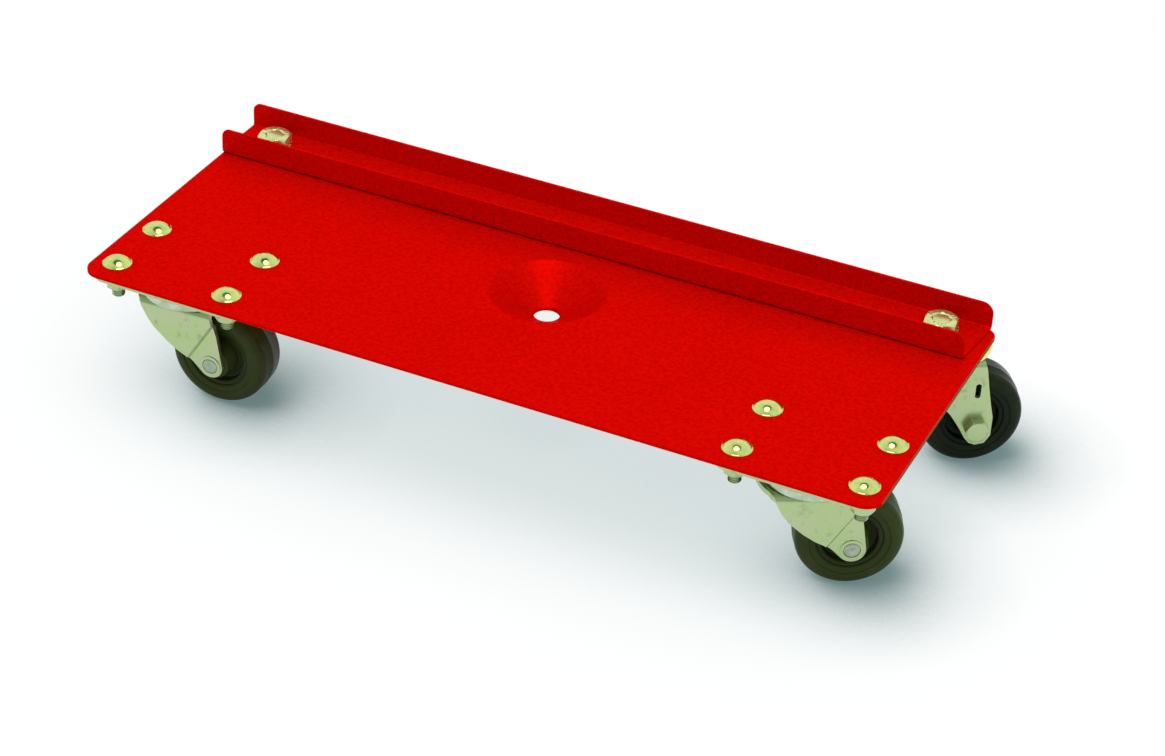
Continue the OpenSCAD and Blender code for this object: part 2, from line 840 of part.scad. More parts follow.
at_caster(front_x, front_y, 0) top_plate();  // front_right_top_plate
at_front_right() front_upper_race();  // front_right_upper_race
at_front_right() kingpin();  // front_right_kingpin
at_front_right() front_upper_balls();  // front_right_upper_balls
at_front_right() front_lower_balls();  // front_right_lower_balls
at_front_right() front_lower_race();  // front_right_lower_race
at_front_right() front_fork();  // front_right_fork
at_front_right() front_axle_rivet();  // front_right_axle_rivet
at_front_right() axle_sleeve();  // front_right_axle_sleeve
at_front_right() wheel_core(front_rubber);  // front_right_wheel_core
at_front_right() tyre(front_rubber);  // front_right_tyre

at_rear_left() stem();  // rear_left_stem
at_rear_left() rear_upper_race();  // rear_left_upper_race
at_rear_left() rear_upper_balls();  // rear_left_upper_balls
at_rear_left() rear_lower_balls();  // rear_left_lower_balls
at_rear_left() rear_lower_race();  // rear_left_lower_race
at_rear_left() rear_fork();  // rear_left_fork
at_rear_left() rear_axle_bolt();  // rear_left_axle_bolt
at_rear_left() rear_axle_nut();  // rear_left_axle_nut
at_rear_left() axle_sleeve();  // rear_left_axle_sleeve
at_rear_left() wheel_core(rear_rubber);  // rear_left_wheel_core
at_rear_left() tyre(rear_rubber);  // rear_left_tyre

at_rear_right() stem();  // rear_right_stem
at_rear_right() rear_upper_race();  // rear_right_upper_race
at_rear_right() rear_upper_balls();  // rear_right_upper_balls
at_rear_right() rear_lower_balls();  // rear_right_lower_balls
at_rear_right() rear_lower_race();  // rear_right_lower_race
at_rear_right() rear_fork();  // rear_right_fork
at_rear_right() rear_axle_bolt();  // rear_right_axle_bolt
at_rear_right() rear_axle_nut();  // rear_right_axle_nut
at_rear_right() axle_sleeve();  // rear_right_axle_sleeve
at_rear_right() wheel_core(rear_rubber);  // rear_right_wheel_core
at_rear_right() tyre(rear_rubber);  // rear_right_tyre
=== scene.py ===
"""Looks of a low rolling garage dolly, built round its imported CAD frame.

The script loads the frame, models the pieces that need more than the CAD gives, dresses every
piece in a procedural finish, lights a small white studio and sets the camera. Lengths are in
millimetres where nothing else is said; the workbench turns them into metres.
"""

import json  # noqa: E402
import logging  # noqa: E402
import math  # noqa: E402
from dataclasses import dataclass  # noqa: E402
from enum import Enum  # noqa: E402
from typing import Any, Callable, Sequence  # noqa: E402

import bpy  # noqa: E402
from mathutils import Matrix, Vector  # noqa: E402


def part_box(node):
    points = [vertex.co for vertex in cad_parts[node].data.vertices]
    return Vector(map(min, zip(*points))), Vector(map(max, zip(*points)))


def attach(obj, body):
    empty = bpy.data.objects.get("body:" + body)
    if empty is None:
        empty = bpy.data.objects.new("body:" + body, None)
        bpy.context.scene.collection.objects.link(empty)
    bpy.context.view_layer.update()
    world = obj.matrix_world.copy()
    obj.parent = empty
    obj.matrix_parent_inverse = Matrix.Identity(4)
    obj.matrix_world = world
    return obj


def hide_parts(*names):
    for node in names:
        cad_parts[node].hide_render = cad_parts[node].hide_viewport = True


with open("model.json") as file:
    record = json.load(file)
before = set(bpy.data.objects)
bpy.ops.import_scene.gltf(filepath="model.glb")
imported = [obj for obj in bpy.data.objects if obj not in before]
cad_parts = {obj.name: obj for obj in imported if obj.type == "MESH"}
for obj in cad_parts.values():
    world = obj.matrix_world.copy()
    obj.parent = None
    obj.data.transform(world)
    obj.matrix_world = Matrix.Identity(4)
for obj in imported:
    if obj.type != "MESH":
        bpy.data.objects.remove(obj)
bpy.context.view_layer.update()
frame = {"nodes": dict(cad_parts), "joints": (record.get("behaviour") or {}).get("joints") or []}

LOG = logging.getLogger("dolly")
MM = 0.001

# Vertices nearer to each other than this are merged, in metres.
MERGE = 0.002 * MM
# Thickness of the deck's sheet.
SHEET = 2.0
# Edges flatter than this many degrees are shaded smooth, on most pieces and on domed ones.
SMOOTH_ANGLE = 38.0
DOME_ANGLE = 50.0
# Radius of a nut's washer face over half its flats, and the slope of the chamfer round it.
CROWN_SHARE = 0.96
CROWN_SLOPE = 0.58
# Depth of a thread over its pitch, and the number of faces in one turn of it.
THREAD_DEPTH = 0.54
THREAD_STEPS = 28

Piece = bpy.types.Object
Pair = tuple[float, float]
Triple = tuple[float, float, float]
Colour = Triple
Profile = Sequence[Pair]


# ---- Shader graphs ----


def _operator(
    operation: str, swapped: bool = False
) -> Callable[["Reading", "Reading | float"], "Reading"]:
    """A method of readings that adds one Math node.

    Args:
        operation: The node's operation.
        swapped: True if the reading stands on the right of the sign.

    Returns:
        The method.
    """

    def method(self: "Reading", other: "Reading | float") -> "Reading":
        """The result of the operation on this and other."""
        values = (other, self) if swapped else (self, other)
        return self.graph.maths(operation, *values)

    return method


class Reading:
    """A node's output socket that Python expressions can add, multiply and compare."""

    def __init__(self, graph: "Graph", socket: bpy.types.NodeSocket) -> None:
        """Keeps the graph and the socket."""
        self.graph = graph
        self.socket = socket

    __add__ = _operator("ADD")
    __radd__ = _operator("ADD", swapped=True)
    __sub__ = _operator("SUBTRACT")
    __rsub__ = _operator("SUBTRACT", swapped=True)
    __mul__ = _operator("MULTIPLY")
    __rmul__ = _operator("MULTIPLY", swapped=True)
    __pow__ = _operator("POWER")
    lesser = _operator("MINIMUM")
    greater = _operator("MAXIMUM")

    def __abs__(self) -> "Reading":
        """The size of this without its sign."""
        return self.graph.maths("ABSOLUTE", self)

    def sine(self) -> "Reading":
        """Sine of this, in radians."""
        return self.graph.maths("SINE", self)

    def ramp(self, low: float, high: float) -> "Reading":
        """A smooth step from 0 at low to 1 at high; low may be the larger one.

        Args:
            low: Value at which the step is 0.
            high: Value at which the step is 1.

        Returns:
            The step.
        """
        if low > high:
            return 1 - self.ramp(high, low)
        return self.graph.read(
            "ShaderNodeMapRange", "Result", {"interpolation_type": "SMOOTHSTEP"},
            {"Value": self, "From Min": low, "From Max": high},
        )


class Graph:
    """A node tree that is filled by expressions."""

    def __init__(self, tree: bpy.types.NodeTree) -> None:
        """Empties the tree and keeps it."""
        self.tree = tree
        tree.nodes.clear()

    @classmethod
    def of_material(cls, name: str) -> tuple[bpy.types.Material, "Graph"]:
        """A new material of that name and its graph."""
        material = bpy.data.materials.new(name)
        material.use_nodes = True
        return material, cls(material.node_tree)

    def node(
        self,
        kind: str,
        settings: dict[str, Any] | None = None,
        sockets: dict[str | int, Any] | None = None,
    ) -> bpy.types.Node:
        """Adds any node.

        Args:
            kind: The node's type.
            settings: Its own settings, set first. The key stops fills a colour ramp.
            sockets: Values or readings for its inputs, by name or by number.

        Returns:
            The node.
        """
        made = self.tree.nodes.new(kind)
        for key, value in (settings or {}).items():
            if key == "stops":
                self._fill_ramp(made, value)
            else:
                setattr(made, key, value)
        for key, value in (sockets or {}).items():
            self._feed(made.inputs[key], value)
        return made

    def read(
        self,
        kind: str,
        output: str | int,
        settings: dict[str, Any] | None = None,
        sockets: dict[str | int, Any] | None = None,
    ) -> Reading:
        """Adds a node and returns one of its outputs.

        Args:
            kind: The node's type.
            output: The output's name or number.
            settings: As for node.
            sockets: As for node.

        Returns:
            The output as a reading.
        """
        return Reading(self, self.node(kind, settings, sockets).outputs[output])

    def _feed(self, socket: bpy.types.NodeSocket, value: Any) -> None:
        """Links a reading to a socket, or sets its value."""
        if isinstance(value, Reading):
            self.tree.links.new(value.socket, socket)
        elif socket.type == "RGBA" and len(value) == 3:
            socket.default_value = (*value, 1.0)
        else:
            socket.default_value = value

    @staticmethod
    def _fill_ramp(made: bpy.types.Node, stops: Sequence[tuple[float, Colour]]) -> None:
        """Gives a colour ramp its stops."""
        elements = made.color_ramp.elements
        while len(elements) < len(stops):
            elements.new(0.5)
        for element, (position, colour) in zip(elements, stops):
            element.position = position
            element.color = (*colour, 1.0)

    def maths(self, operation: str, *values: "Reading | float") -> Reading:
        """One Math node."""
        return self.read(
            "ShaderNodeMath", 0, {"operation": operation}, dict(enumerate(values))
        )

    def mix(self, share: Reading | float, low: Any, high: Any) -> Reading:
        """A colour between low at share 0 and high at share 1."""
        return self.read(
            "ShaderNodeMix", 2, {"data_type": "RGBA"}, {0: share, 6: low, 7: high}
        )

    def place(self) -> Reading:
        """The point in the frame of the row."""
        return self.read("ShaderNodeTexCoord", "Object")

    def seen_from(self, centre: Vector, turn: float) -> Reading:
        """The point as seen from a centre, turned about the upright.

        Args:
            centre: The point that becomes the origin, in metres.
            turn: Angle of the local X axis from +X, in radians.

        Returns:
            The local point.
        """
        return self.read(
            "ShaderNodeMapping", 0, {"vector_type": "TEXTURE"},
            {"Vector": self.place(), "Location": centre, "Rotation": (0, 0, turn)},
        )

    def stretched(self, point: Reading, scale: Triple) -> Reading:
        """The point with each coordinate multiplied."""
        return self.read(
            "ShaderNodeVectorMath", 0, {"operation": "MULTIPLY"}, {0: point, 1: scale}
        )

    def axes(self, point: Reading) -> tuple[Reading, Reading, Reading]:
        """The three coordinates of a point."""
        made = self.node("ShaderNodeSeparateXYZ", None, {0: point})
        return tuple(Reading(self, made.outputs[i]) for i in range(3))

    def noise(self, point: Reading, size: float, detail: float = 2.0) -> Reading:
        """Soft noise from 0 to 1.

        Args:
            point: Where it is read.
            size: Width of its larger spots.
            detail: Number of finer layers.

        Returns:
            The noise.
        """
        return self.read(
            "ShaderNodeTexNoise", "Fac", None,
            {"Vector": point, "Scale": 1 / (size * MM), "Detail": detail},
        )

    def bump(self, height: Reading, depth: float, under: Reading | None = None) -> Reading:
        """A normal for a relief.

        Args:
            height: The relief, where 1 is the full depth.
            depth: Depth of the relief.
            under: A normal that it is laid over.

        Returns:
            The normal.
        """
        sockets = {"Height": height, "Distance": depth * MM, "Strength": 1.0}
        if under is not None:
            sockets["Normal"] = under
        return self.read("ShaderNodeBump", 0, None, sockets)

    def surface(self, **sockets: Any) -> None:
        """Ends a material in a Principled BSDF; an underscore in a name stands for a space."""
        named = {key.replace("_", " "): value for key, value in sockets.items()}
        shader = self.read("ShaderNodeBsdfPrincipled", 0, None, named)
        self.node("ShaderNodeOutputMaterial", None, {0: shader})


# ---- Finishes ----


@dataclass(frozen=True)
class RedEnamel:
    """Red enamel over pressed sheet, with bare edges, sunk bolt seats and a rougher, more metallic
    dish.

    Attributes:
        half_length: Half the length of the sheet.
        front: Y of the front edge.
        back: Y of the back edge.
        bolt_x: Distance of a caster's bolt pattern from the middle.
        bolt_y: Y of the middle of the bolt patterns.
        bolt_dx: Bolt spacing along the deck.
        bolt_dy: Bolt spacing across the deck.
        dish_y: Y of the middle of the dish.
        deep: Colour of the darker grain.
        bright: Colour of the lighter grain.
        bare: Colour of bare edges.
        sheen: Colour of grazing reflections.
        wear: Distances from an edge at which it is still and fully bare, in metres.
        cover: Extra cover of the long edges, in metres.
        seat: Radii of a bolt's sunk seat, in metres.
        dish_wall: Radii of the dish's rim and of its pressed wall, in metres.
    """

    half_length: float
    front: float
    back: float
    bolt_x: float
    bolt_y: float
    bolt_dx: float
    bolt_dy: float
    dish_y: float = 13.5
    deep: Colour = (0.57, 0.0010, 0.0003)
    bright: Colour = (0.80, 0.0038, 0.0008)
    bare: Colour = (0.20, 0.16, 0.07)
    sheen: Colour = (1.0, 0.15, 0.12)
    wear: Pair = (0.0006, 0.0002)
    cover: float = 0.0012
    seat: Pair = (0.0090, 0.0165)
    dish_wall: Pair = (0.0400, 0.0300)

    def material(self) -> bpy.types.Material:
        """The enamel as a material."""
        made, g = Graph.of_material("red_enamel")
        point = g.place()
        x, y, _ = g.axes(point)
        drift = g.noise(point, 90, 2)
        grain = g.noise(point, 2.2, 3)
        colour = g.mix(drift * 0.35 + grain.ramp(0.30, 0.70) * 0.65, self.deep, self.bright)
        end = self.half_length * MM - abs(x)
        side = (y - self.front * MM).lesser(self.back * MM - y) + self.cover
        ragged = end.lesser(side) + (g.noise(point, 2.5, 2) - 0.5) * 0.0009
        worn = ragged.ramp(*self.wear)
        along = abs(abs(abs(x) - self.bolt_x * MM) - self.bolt_dx * MM / 2)
        across = abs(abs(y - self.bolt_y * MM) - self.bolt_dy * MM / 2)
        seat = ((along * along + across * across) ** 0.5).ramp(*self.seat)
        off = y - self.dish_y * MM
        pressed = ((x * x + off * off) ** 0.5).ramp(*self.dish_wall)
        wave = g.bump(g.noise(point, 60, 1), 0.25)
        seated = g.bump(seat, 0.7, wave)
        normal = g.bump(g.noise(point, 3.2, 2), 0.012, seated)
        g.surface(
            Base_Color=g.mix(worn * 0.8, colour, self.bare),
            Roughness=0.27 + 0.10 * grain + 0.20 * worn + 0.14 * pressed,
            Metallic=0.29 + worn * 0.3 + 0.28 * pressed,
            Specular_IOR_Level=0.0,
            Specular_Tint=self.sheen,
            Normal=normal,
        )
        return made


@dataclass(frozen=True)
class Plating:
    """Plated steel with a cloudy passivate, rubbed spots and fine pits.

    Attributes:
        name: The material's name.
        pale: Colour of the thick film.
        tinted: Colour of the thin film.
        shade: Colour of pits and of dulled spots.
        rough: Lowest and highest roughness.
        cloud: Width of the clouds.
        metal: Metallic value where the film is clean.
        painted_shade_below: Darker colour painted on the part below the deck's sheet as the deck's
            shade, if it has one.
        level: Heights between which the painted shade begins, in metres.
    """

    name: str
    pale: Colour
    tinted: Colour
    shade: Colour
    rough: Pair
    cloud: float
    metal: float = 1.0
    painted_shade_below: Colour | None = None
    level: Pair = (0.0845, 0.0835)

    def material(self) -> bpy.types.Material:
        """The plating as a material."""
        made, g = Graph.of_material(self.name)
        point = g.place()
        clouds = g.noise(point, self.cloud, 3).ramp(0.32, 0.68)
        rubbed = g.noise(g.stretched(point, (1.0, 1.0, 0.25)), 1.1, 3)
        dull = g.noise(point, self.cloud * 0.37, 4).ramp(0.56, 0.78)
        pits = g.noise(point, 0.9, 2).ramp(0.66, 0.74)
        film = g.mix(clouds, self.pale, self.tinted)
        # Painted shade: below the deck's sheet the film is drawn darker, as the shade that the deck
        # casts on the part.
        if self.painted_shade_below is not None:
            film = g.mix(g.axes(point)[2].ramp(*self.level), film, self.painted_shade_below)
        low, high = self.rough
        normal = g.bump(g.noise(point, 9, 2), 0.06)
        normal = g.bump(rubbed - pits * 0.8, 0.012, normal)
        g.surface(
            Base_Color=g.mix((dull * 0.45 + pits * 0.4).lesser(0.8), film, self.shade),
            Roughness=low + (high - low) * (rubbed * 0.5 + dull * 0.5),
            Metallic=self.metal - 0.15 * dull,
            Normal=normal,
        )
        return made


@dataclass(frozen=True)
class TurnedSteel:
    """Ground bearing steel with turning rings and a film of grease."""

    name: str = "bearing_steel"
    clean: Colour = (0.60, 0.61, 0.62)
    greased: Colour = (0.30, 0.27, 0.20)

    def material(self) -> bpy.types.Material:
        """The steel as a material."""
        made, g = Graph.of_material(self.name)
        point = g.place()
        grease = g.noise(point, 6, 3).ramp(0.48, 0.72)
        grind = g.noise(g.stretched(point, (1.0, 1.0, 6.0)), 2.4, 2)
        g.surface(
            Base_Color=g.mix(grease * 0.7, self.clean, self.greased),
            Roughness=0.14 + 0.12 * grind + 0.25 * grease,
            Metallic=1.0 - 0.4 * grease,
            Normal=g.bump(grind, 0.006),
        )
        return made


@dataclass(frozen=True)
class MouldedRubber:
    """Moulded wheel material with rings that run round its own axle, and a painted shade in its
    recess.

    Attributes:
        name: The material's name.
        centre: Centre of the wheel in metres.
        turn: Direction in which the caster trails, in radians.
        clean: Colour of the moulded skin.
        dusty: Colour of the dust that lies in it.
        recess: Radii between which the side is drawn darker, a painted shade in the wheel's recess.
        rough: Lowest and highest roughness.
        pitch: Spacing of the turning rings.
    """

    name: str
    centre: Triple
    turn: float
    clean: Colour
    dusty: Colour
    recess: Pair
    rough: Pair = (0.22, 0.45)
    pitch: float = 1.3

    def material(self) -> bpy.types.Material:
        """The moulded skin as a material."""
        made, g = Graph.of_material(self.name)
        local = g.seen_from(Vector(self.centre), self.turn)
        x, y, z = g.axes(local)
        radius = (x * x + z * z) ** 0.5
        rings = (radius * (2 * math.pi / (self.pitch * MM))).sine() * 0.5 + 0.5
        skin = g.noise(local, 0.8, 3)
        smear = g.noise(g.stretched(local, (1.0, 0.35, 1.0)), 11, 4).ramp(0.42, 0.75)
        inner, outer = self.recess
        # Painted shade: between the recess radii the side is drawn darker, as if the wheel's hollow
        # lay in shade.
        painted_recess_shade = radius.ramp((inner - 1.2) * MM, inner * MM) * radius.ramp(
            (outer + 1.2) * MM, outer * MM
        )
        on_side = abs(y).ramp(0.010, 0.0125)
        colour = g.mix(smear * 0.6, self.clean, self.dusty)
        # Colour of the painted shade in the recess.
        dark = tuple(channel * 0.5 for channel in self.clean)
        low, high = self.rough
        normal = g.bump(rings, 0.012)
        normal = g.bump(skin, 0.015, normal)
        g.surface(
            Base_Color=g.mix(painted_recess_shade * 0.75, colour, dark),
            Roughness=low + (high - low) * (skin * 0.4 + smear * 0.6) + 0.05 * on_side,
            Specular_IOR_Level=0.09,
            Normal=normal,
        )
        return made


class Metal(Enum):
    """Finishes of the metal parts."""

    ZINC = Plating(
        "zinc_plate", (0.45, 0.61, 0.27), (0.50, 0.59, 0.34), (0.28, 0.34, 0.22),
        (0.26, 0.44), 14, 0.86,
    )
    BRIGHT_ZINC = Plating(
        "bright_zinc", (0.84, 0.88, 0.24), (0.62, 0.80, 0.28), (0.16, 0.24, 0.04),
        (0.10, 0.24), 3.5,
    )
    # The bolts' last colour is a painted shade, drawn on their shanks below the deck's sheet.
    BOLT_ZINC = Plating(
        "bolt_zinc", (0.84, 0.88, 0.24), (0.62, 0.80, 0.28), (0.16, 0.24, 0.04),
        (0.08, 0.20), 3.5, 1.0, (0.36, 0.46, 0.30),
    )
    POLISHED_ZINC = Plating(
        "polished_zinc", (0.56, 0.64, 0.52), (0.40, 0.50, 0.34), (0.14, 0.20, 0.10),
        (0.10, 0.24), 7, 0.95,
    )
    NUT_ZINC = Plating(
        "nut_zinc", (0.86, 0.92, 0.40), (0.72, 0.84, 0.36), (0.26, 0.34, 0.08),
        (0.14, 0.30), 5, 0.86,
    )
    RIVET_STEEL = Plating(
        "rivet_steel", (0.36, 0.44, 0.32), (0.44, 0.50, 0.40), (0.20, 0.24, 0.18),
        (0.28, 0.46), 4, 0.80,
    )
    STEEL = TurnedSteel()


class Rubber(Enum):
    """Colours of the moulded skin of the wheels and of the dust in it."""

    FRONT = ((0.044, 0.064, 0.015), (0.066, 0.082, 0.024))
    REAR = ((0.012, 0.021, 0.009), (0.022, 0.038, 0.014))


class Slot(str, Enum):
    """Material slots of the record."""

    RED = "deck_red"
    ZINC = "zinc"
    BRIGHT_ZINC = "bright_zinc"
    STEEL = "ball_steel"
    FRONT_TYRE = "front_tyre"
    FRONT_CORE = "front_core"
    REAR_TYRE = "rear_tyre"
    REAR_CORE = "rear_core"


class PaintShop:
    """Makes each finish once and puts it on pieces."""

    def __init__(self) -> None:
        """Starts with no material made."""
        self.made: dict[Any, bpy.types.Material] = {}

    def dress(self, piece: Piece, finish: Any) -> None:
        """Gives a piece a finish as its only material.

        Args:
            piece: The piece.
            finish: A finish, or a Metal that names one.
        """
        finish = finish.value if isinstance(finish, Metal) else finish
        if finish not in self.made:
            self.made[finish] = finish.material()
        piece.data.materials.clear()
        piece.data.materials.append(self.made[finish])


# ---- Workbench ----


class Bench:
    """Modelling steps that the sub-assemblies share."""

    @staticmethod
    def clear() -> None:
        """Leaves nothing selected."""
        if bpy.context.object is not None and bpy.context.object.mode != "OBJECT":
            bpy.ops.object.mode_set(mode="OBJECT")
        bpy.ops.object.select_all(action="DESELECT")

    @staticmethod
    def take(piece: Piece) -> Piece:
        """Selects one piece alone, makes it active and returns it."""
        Bench.clear()
        piece.select_set(True)
        bpy.context.view_layer.objects.active = piece
        return piece

    @staticmethod
    def link(piece: Piece) -> Piece:
        """Puts an object into the scene and returns it."""
        bpy.context.scene.collection.objects.link(piece)
        return piece

    @staticmethod
    def edit(piece: Piece) -> None:
        """Opens a piece in edit mode with all of it selected."""
        Bench.take(piece)
        bpy.ops.object.mode_set(mode="EDIT")
        bpy.ops.mesh.select_all(action="SELECT")

    @staticmethod
    def done(name: str) -> Piece:
        """Closes edit mode and names the active piece."""
        bpy.ops.object.mode_set(mode="OBJECT")
        piece = bpy.context.object
        piece.name = name
        return piece

    @staticmethod
    def clean_copy(node: str, name: str) -> Piece:
        """A copy of a CAD node with its triangles merged into whole faces.

        Args:
            node: The CAD node.
            name: Name of the copy.

        Returns:
            The copy.
        """
        mesh = frame["nodes"][node].data.copy()
        piece = Bench.link(bpy.data.objects.new(name, mesh))
        Bench.edit(piece)
        bpy.ops.mesh.customdata_custom_splitnormals_clear()
        bpy.ops.mesh.remove_doubles(threshold=MERGE)
        bpy.ops.mesh.dissolve_limited(angle_limit=math.radians(0.4))
        return Bench.done(name)

    @staticmethod
    def smooth(degrees: float = SMOOTH_ANGLE) -> None:
        """Shades the active piece smooth across edges flatter than an angle."""
        bpy.ops.object.shade_smooth_by_angle(angle=math.radians(degrees))

    @staticmethod
    def soften(piece: Piece, width: float, segments: int = 2, angle: float = 32) -> Piece:
        """Rounds the sharp edges of a piece and smooths the rest.

        Args:
            piece: The piece.
            width: Width of the rounding.
            segments: Number of faces across it.
            angle: Edges sharper than this many degrees are rounded.

        Returns:
            The piece.
        """
        Bench.take(piece)
        bevel = piece.modifiers.new("soft_edges", "BEVEL")
        bevel.width = width * MM
        bevel.segments = segments
        bevel.limit_method = "ANGLE"
        bevel.angle_limit = math.radians(angle)
        bevel.miter_outer = "MITER_ARC"
        bpy.ops.object.modifier_apply(modifier=bevel.name)
        Bench.smooth()
        flats = piece.modifiers.new("flat_faces", "WEIGHTED_NORMAL")
        flats.weight = 100
        flats.keep_sharp = True
        bpy.ops.object.modifier_apply(modifier=flats.name)
        return piece

    @staticmethod
    def thread_path(points: Profile) -> None:
        """Draws a line of vertices in the XZ plane, left open in edit mode.

        Args:
            points: (radius, height) pairs.
        """
        Bench.clear()
        bpy.ops.mesh.primitive_plane_add(size=MM)
        bpy.ops.object.mode_set(mode="EDIT")
        bpy.ops.mesh.select_all(action="SELECT")
        bpy.ops.mesh.merge(type="CENTER")
        before = (0.0, 0.0)
        for number, point in enumerate(points):
            step = ((point[0] - before[0]) * MM, 0.0, (point[1] - before[1]) * MM)
            if number == 0:
                bpy.ops.transform.translate(value=step)
            else:
                bpy.ops.mesh.extrude_vertices_move(TRANSFORM_OT_translate={"value": step})
            before = point

    @staticmethod
    def lathe(name: str, profile: Profile, steps: int = 96) -> Piece:
        """Turns a profile about the Z axis into a closed piece.

        Args:
            name: Name of the piece.
            profile: (radius, height) pairs. It ends on the axis or where it began.
            steps: Number of faces round the axis.

        Returns:
            The piece.
        """
        Bench.thread_path(profile)
        bpy.ops.mesh.select_all(action="SELECT")
        bpy.ops.mesh.spin(
            steps=steps, angle=2 * math.pi, center=(0, 0, 0), axis=(0, 0, 1)
        )
        bpy.ops.mesh.select_all(action="SELECT")
        bpy.ops.mesh.remove_doubles(threshold=MERGE)
        bpy.ops.mesh.normals_make_consistent(inside=False)
        return Bench.done(name)

    @staticmethod
    def helix(name: str, radius: float, pitch: float, low: float, high: float) -> Piece:
        """A rod with a helical thread, cut square and closed at both ends.

        Args:
            name: Name of the piece.
            radius: Radius of the thread's crest.
            pitch: Pitch of the thread.
            low: Height of its lower end.
            high: Height of its upper end.

        Returns:
            The rod.
        """
        root = radius - pitch * THREAD_DEPTH
        start = low - 1.5 * pitch
        Bench.thread_path([
            (root, start), (root, start + pitch * 0.12), (radius, start + pitch * 0.48),
            (radius, start + pitch * 0.62), (root, start + pitch),
        ])
        piece = Bench.done(name)
        screw = piece.modifiers.new("winding", "SCREW")
        screw.angle = 2 * math.pi
        screw.screw_offset = pitch * MM
        screw.iterations = math.ceil((high - start) / pitch) + 2
        screw.steps = screw.render_steps = THREAD_STEPS
        screw.use_merge_vertices = True
        screw.merge_threshold = MERGE
        bpy.ops.object.modifier_apply(modifier=screw.name)
        for height, up in ((low, -1), (high, 1)):
            Bench.edit(piece)
            bpy.ops.mesh.bisect(
                plane_co=(0, 0, height * MM), plane_no=(0, 0, up),
                use_fill=True, clear_outer=True,
            )
            bpy.ops.object.mode_set(mode="OBJECT")
        Bench.edit(piece)
        bpy.ops.mesh.remove_doubles(threshold=MERGE)
        bpy.ops.mesh.normals_make_consistent(inside=False)
        return Bench.done(name)

    @staticmethod
    def carve(piece: Piece, tool: Piece, how: str) -> Piece:
        """Cuts or limits a piece by a tool, which is then thrown away.

        Args:
            piece: The piece.
            tool: The tool's shape.
            how: DIFFERENCE, INTERSECT or UNION.

        Returns:
            The piece.
        """
        Bench.take(piece)
        cut = piece.modifiers.new("cut", "BOOLEAN")
        cut.operation = how
        cut.object = tool
        cut.solver = "EXACT"
        bpy.ops.object.modifier_apply(modifier=cut.name)
        bpy.data.objects.remove(tool)
        return piece

    @staticmethod
    def join(pieces: Sequence[Piece], name: str) -> Piece:
        """Joins pieces into the first one."""
        Bench.clear()
        for piece in pieces:
            piece.select_set(True)
        bpy.context.view_layer.objects.active = pieces[0]
        bpy.ops.object.join()
        pieces[0].name = name
        return pieces[0]

    @staticmethod
    def settle(piece: Piece, place: Matrix) -> Piece:
        """Moves a piece's mesh to its place and leaves its object at the origin."""
        Bench.take(piece)
        piece.matrix_world = place
        bpy.ops.object.transform_apply(location=True, rotation=True, scale=True)
        return piece

    @staticmethod
    def copy_at(piece: Piece, name: str, place: Matrix) -> Piece:
        """A copy of a piece with its own mesh, settled at a place."""
        return Bench.settle(Bench.link(bpy.data.objects.new(name, piece.data.copy())), place)

    @staticmethod
    def discard(piece: Piece) -> None:
        """Throws a pattern piece away."""
        bpy.data.objects.remove(piece)


def ring_arc(
    centre: Pair, radius: float, start: float, end: float, steps: int
) -> list[Pair]:
    """Points of an arc in a profile.

    Args:
        centre: (radius, height) of the arc's centre.
        radius: Radius of the arc.
        start: First angle in degrees.
        end: Last angle in degrees.
        steps: Number of chords.

    Returns:
        The points, both ends included.
    """
    angles = [math.radians(start + (end - start) * i / steps) for i in range(steps + 1)]
    return [(centre[0] + radius * math.cos(a), centre[1] + radius * math.sin(a)) for a in angles]


def both_sides(profile: Profile) -> list[Pair]:
    """A profile followed by its mirror image in the plane z = 0."""
    return [*profile, *((radius, -height) for radius, height in reversed(profile))]


@dataclass
class HexStock:
    """Hexagon nuts and bolt heads.

    Attributes:
        flats: Size across the flats.
        height: Height.
        bore: Radius of the threaded bore, or 0 for a solid head.
        pitch: Pitch of the thread in the bore.
        washer_face: True if only the upper side is chamfered.
    """

    flats: float
    height: float
    bore: float = 0.0
    pitch: float = 1.25
    washer_face: bool = False

    def build(self, name: str) -> Piece:
        """Models the hexagon from z = 0 up.

        Args:
            name: Name of the piece.

        Returns:
            The piece.
        """
        corner = self.flats / 2 / math.cos(math.pi / 6)
        Bench.clear()
        bpy.ops.mesh.primitive_cylinder_add(
            vertices=6, radius=corner * MM, depth=self.height * MM,
            location=(0, 0, self.height * MM / 2), rotation=(0, 0, math.pi / 6),
        )
        piece = bpy.context.object
        piece.name = name
        bpy.ops.object.transform_apply(location=True, rotation=True, scale=True)
        flat = self.flats / 2 * CROWN_SHARE
        drop = (corner - flat) * CROWN_SLOPE
        low = [(0, 0), (corner + 0.2, 0)] if self.washer_face else [
            (0, 0), (flat, 0), (corner + 0.05, drop + 0.03)
        ]
        blank = Bench.lathe("blank", [
            *low, (corner + 0.05, self.height - drop - 0.03),
            (flat, self.height), (0, self.height),
        ])
        Bench.carve(piece, blank, "INTERSECT")
        if self.bore:
            Bench.carve(piece, self._tap(), "DIFFERENCE")
        return Bench.soften(piece, 0.18, 2, 28)

    def _tap(self) -> Piece:
        """The shape that the bore takes out: a thread with a countersink at each end."""
        tap = Bench.helix("tap", self.bore, self.pitch, -1.0, self.height + 1.0)
        sink = self.bore + 0.6
        for low, high in ((-1.0, 0.9), (self.height + 1.0, self.height - 0.9)):
            cone = Bench.lathe("sink", [
                (0, low), (sink + 1.0, low), (self.bore - 0.9, high), (0, high),
            ], 48)
            Bench.carve(tap, cone, "UNION")
        return tap


# ---- Sub-assemblies ----


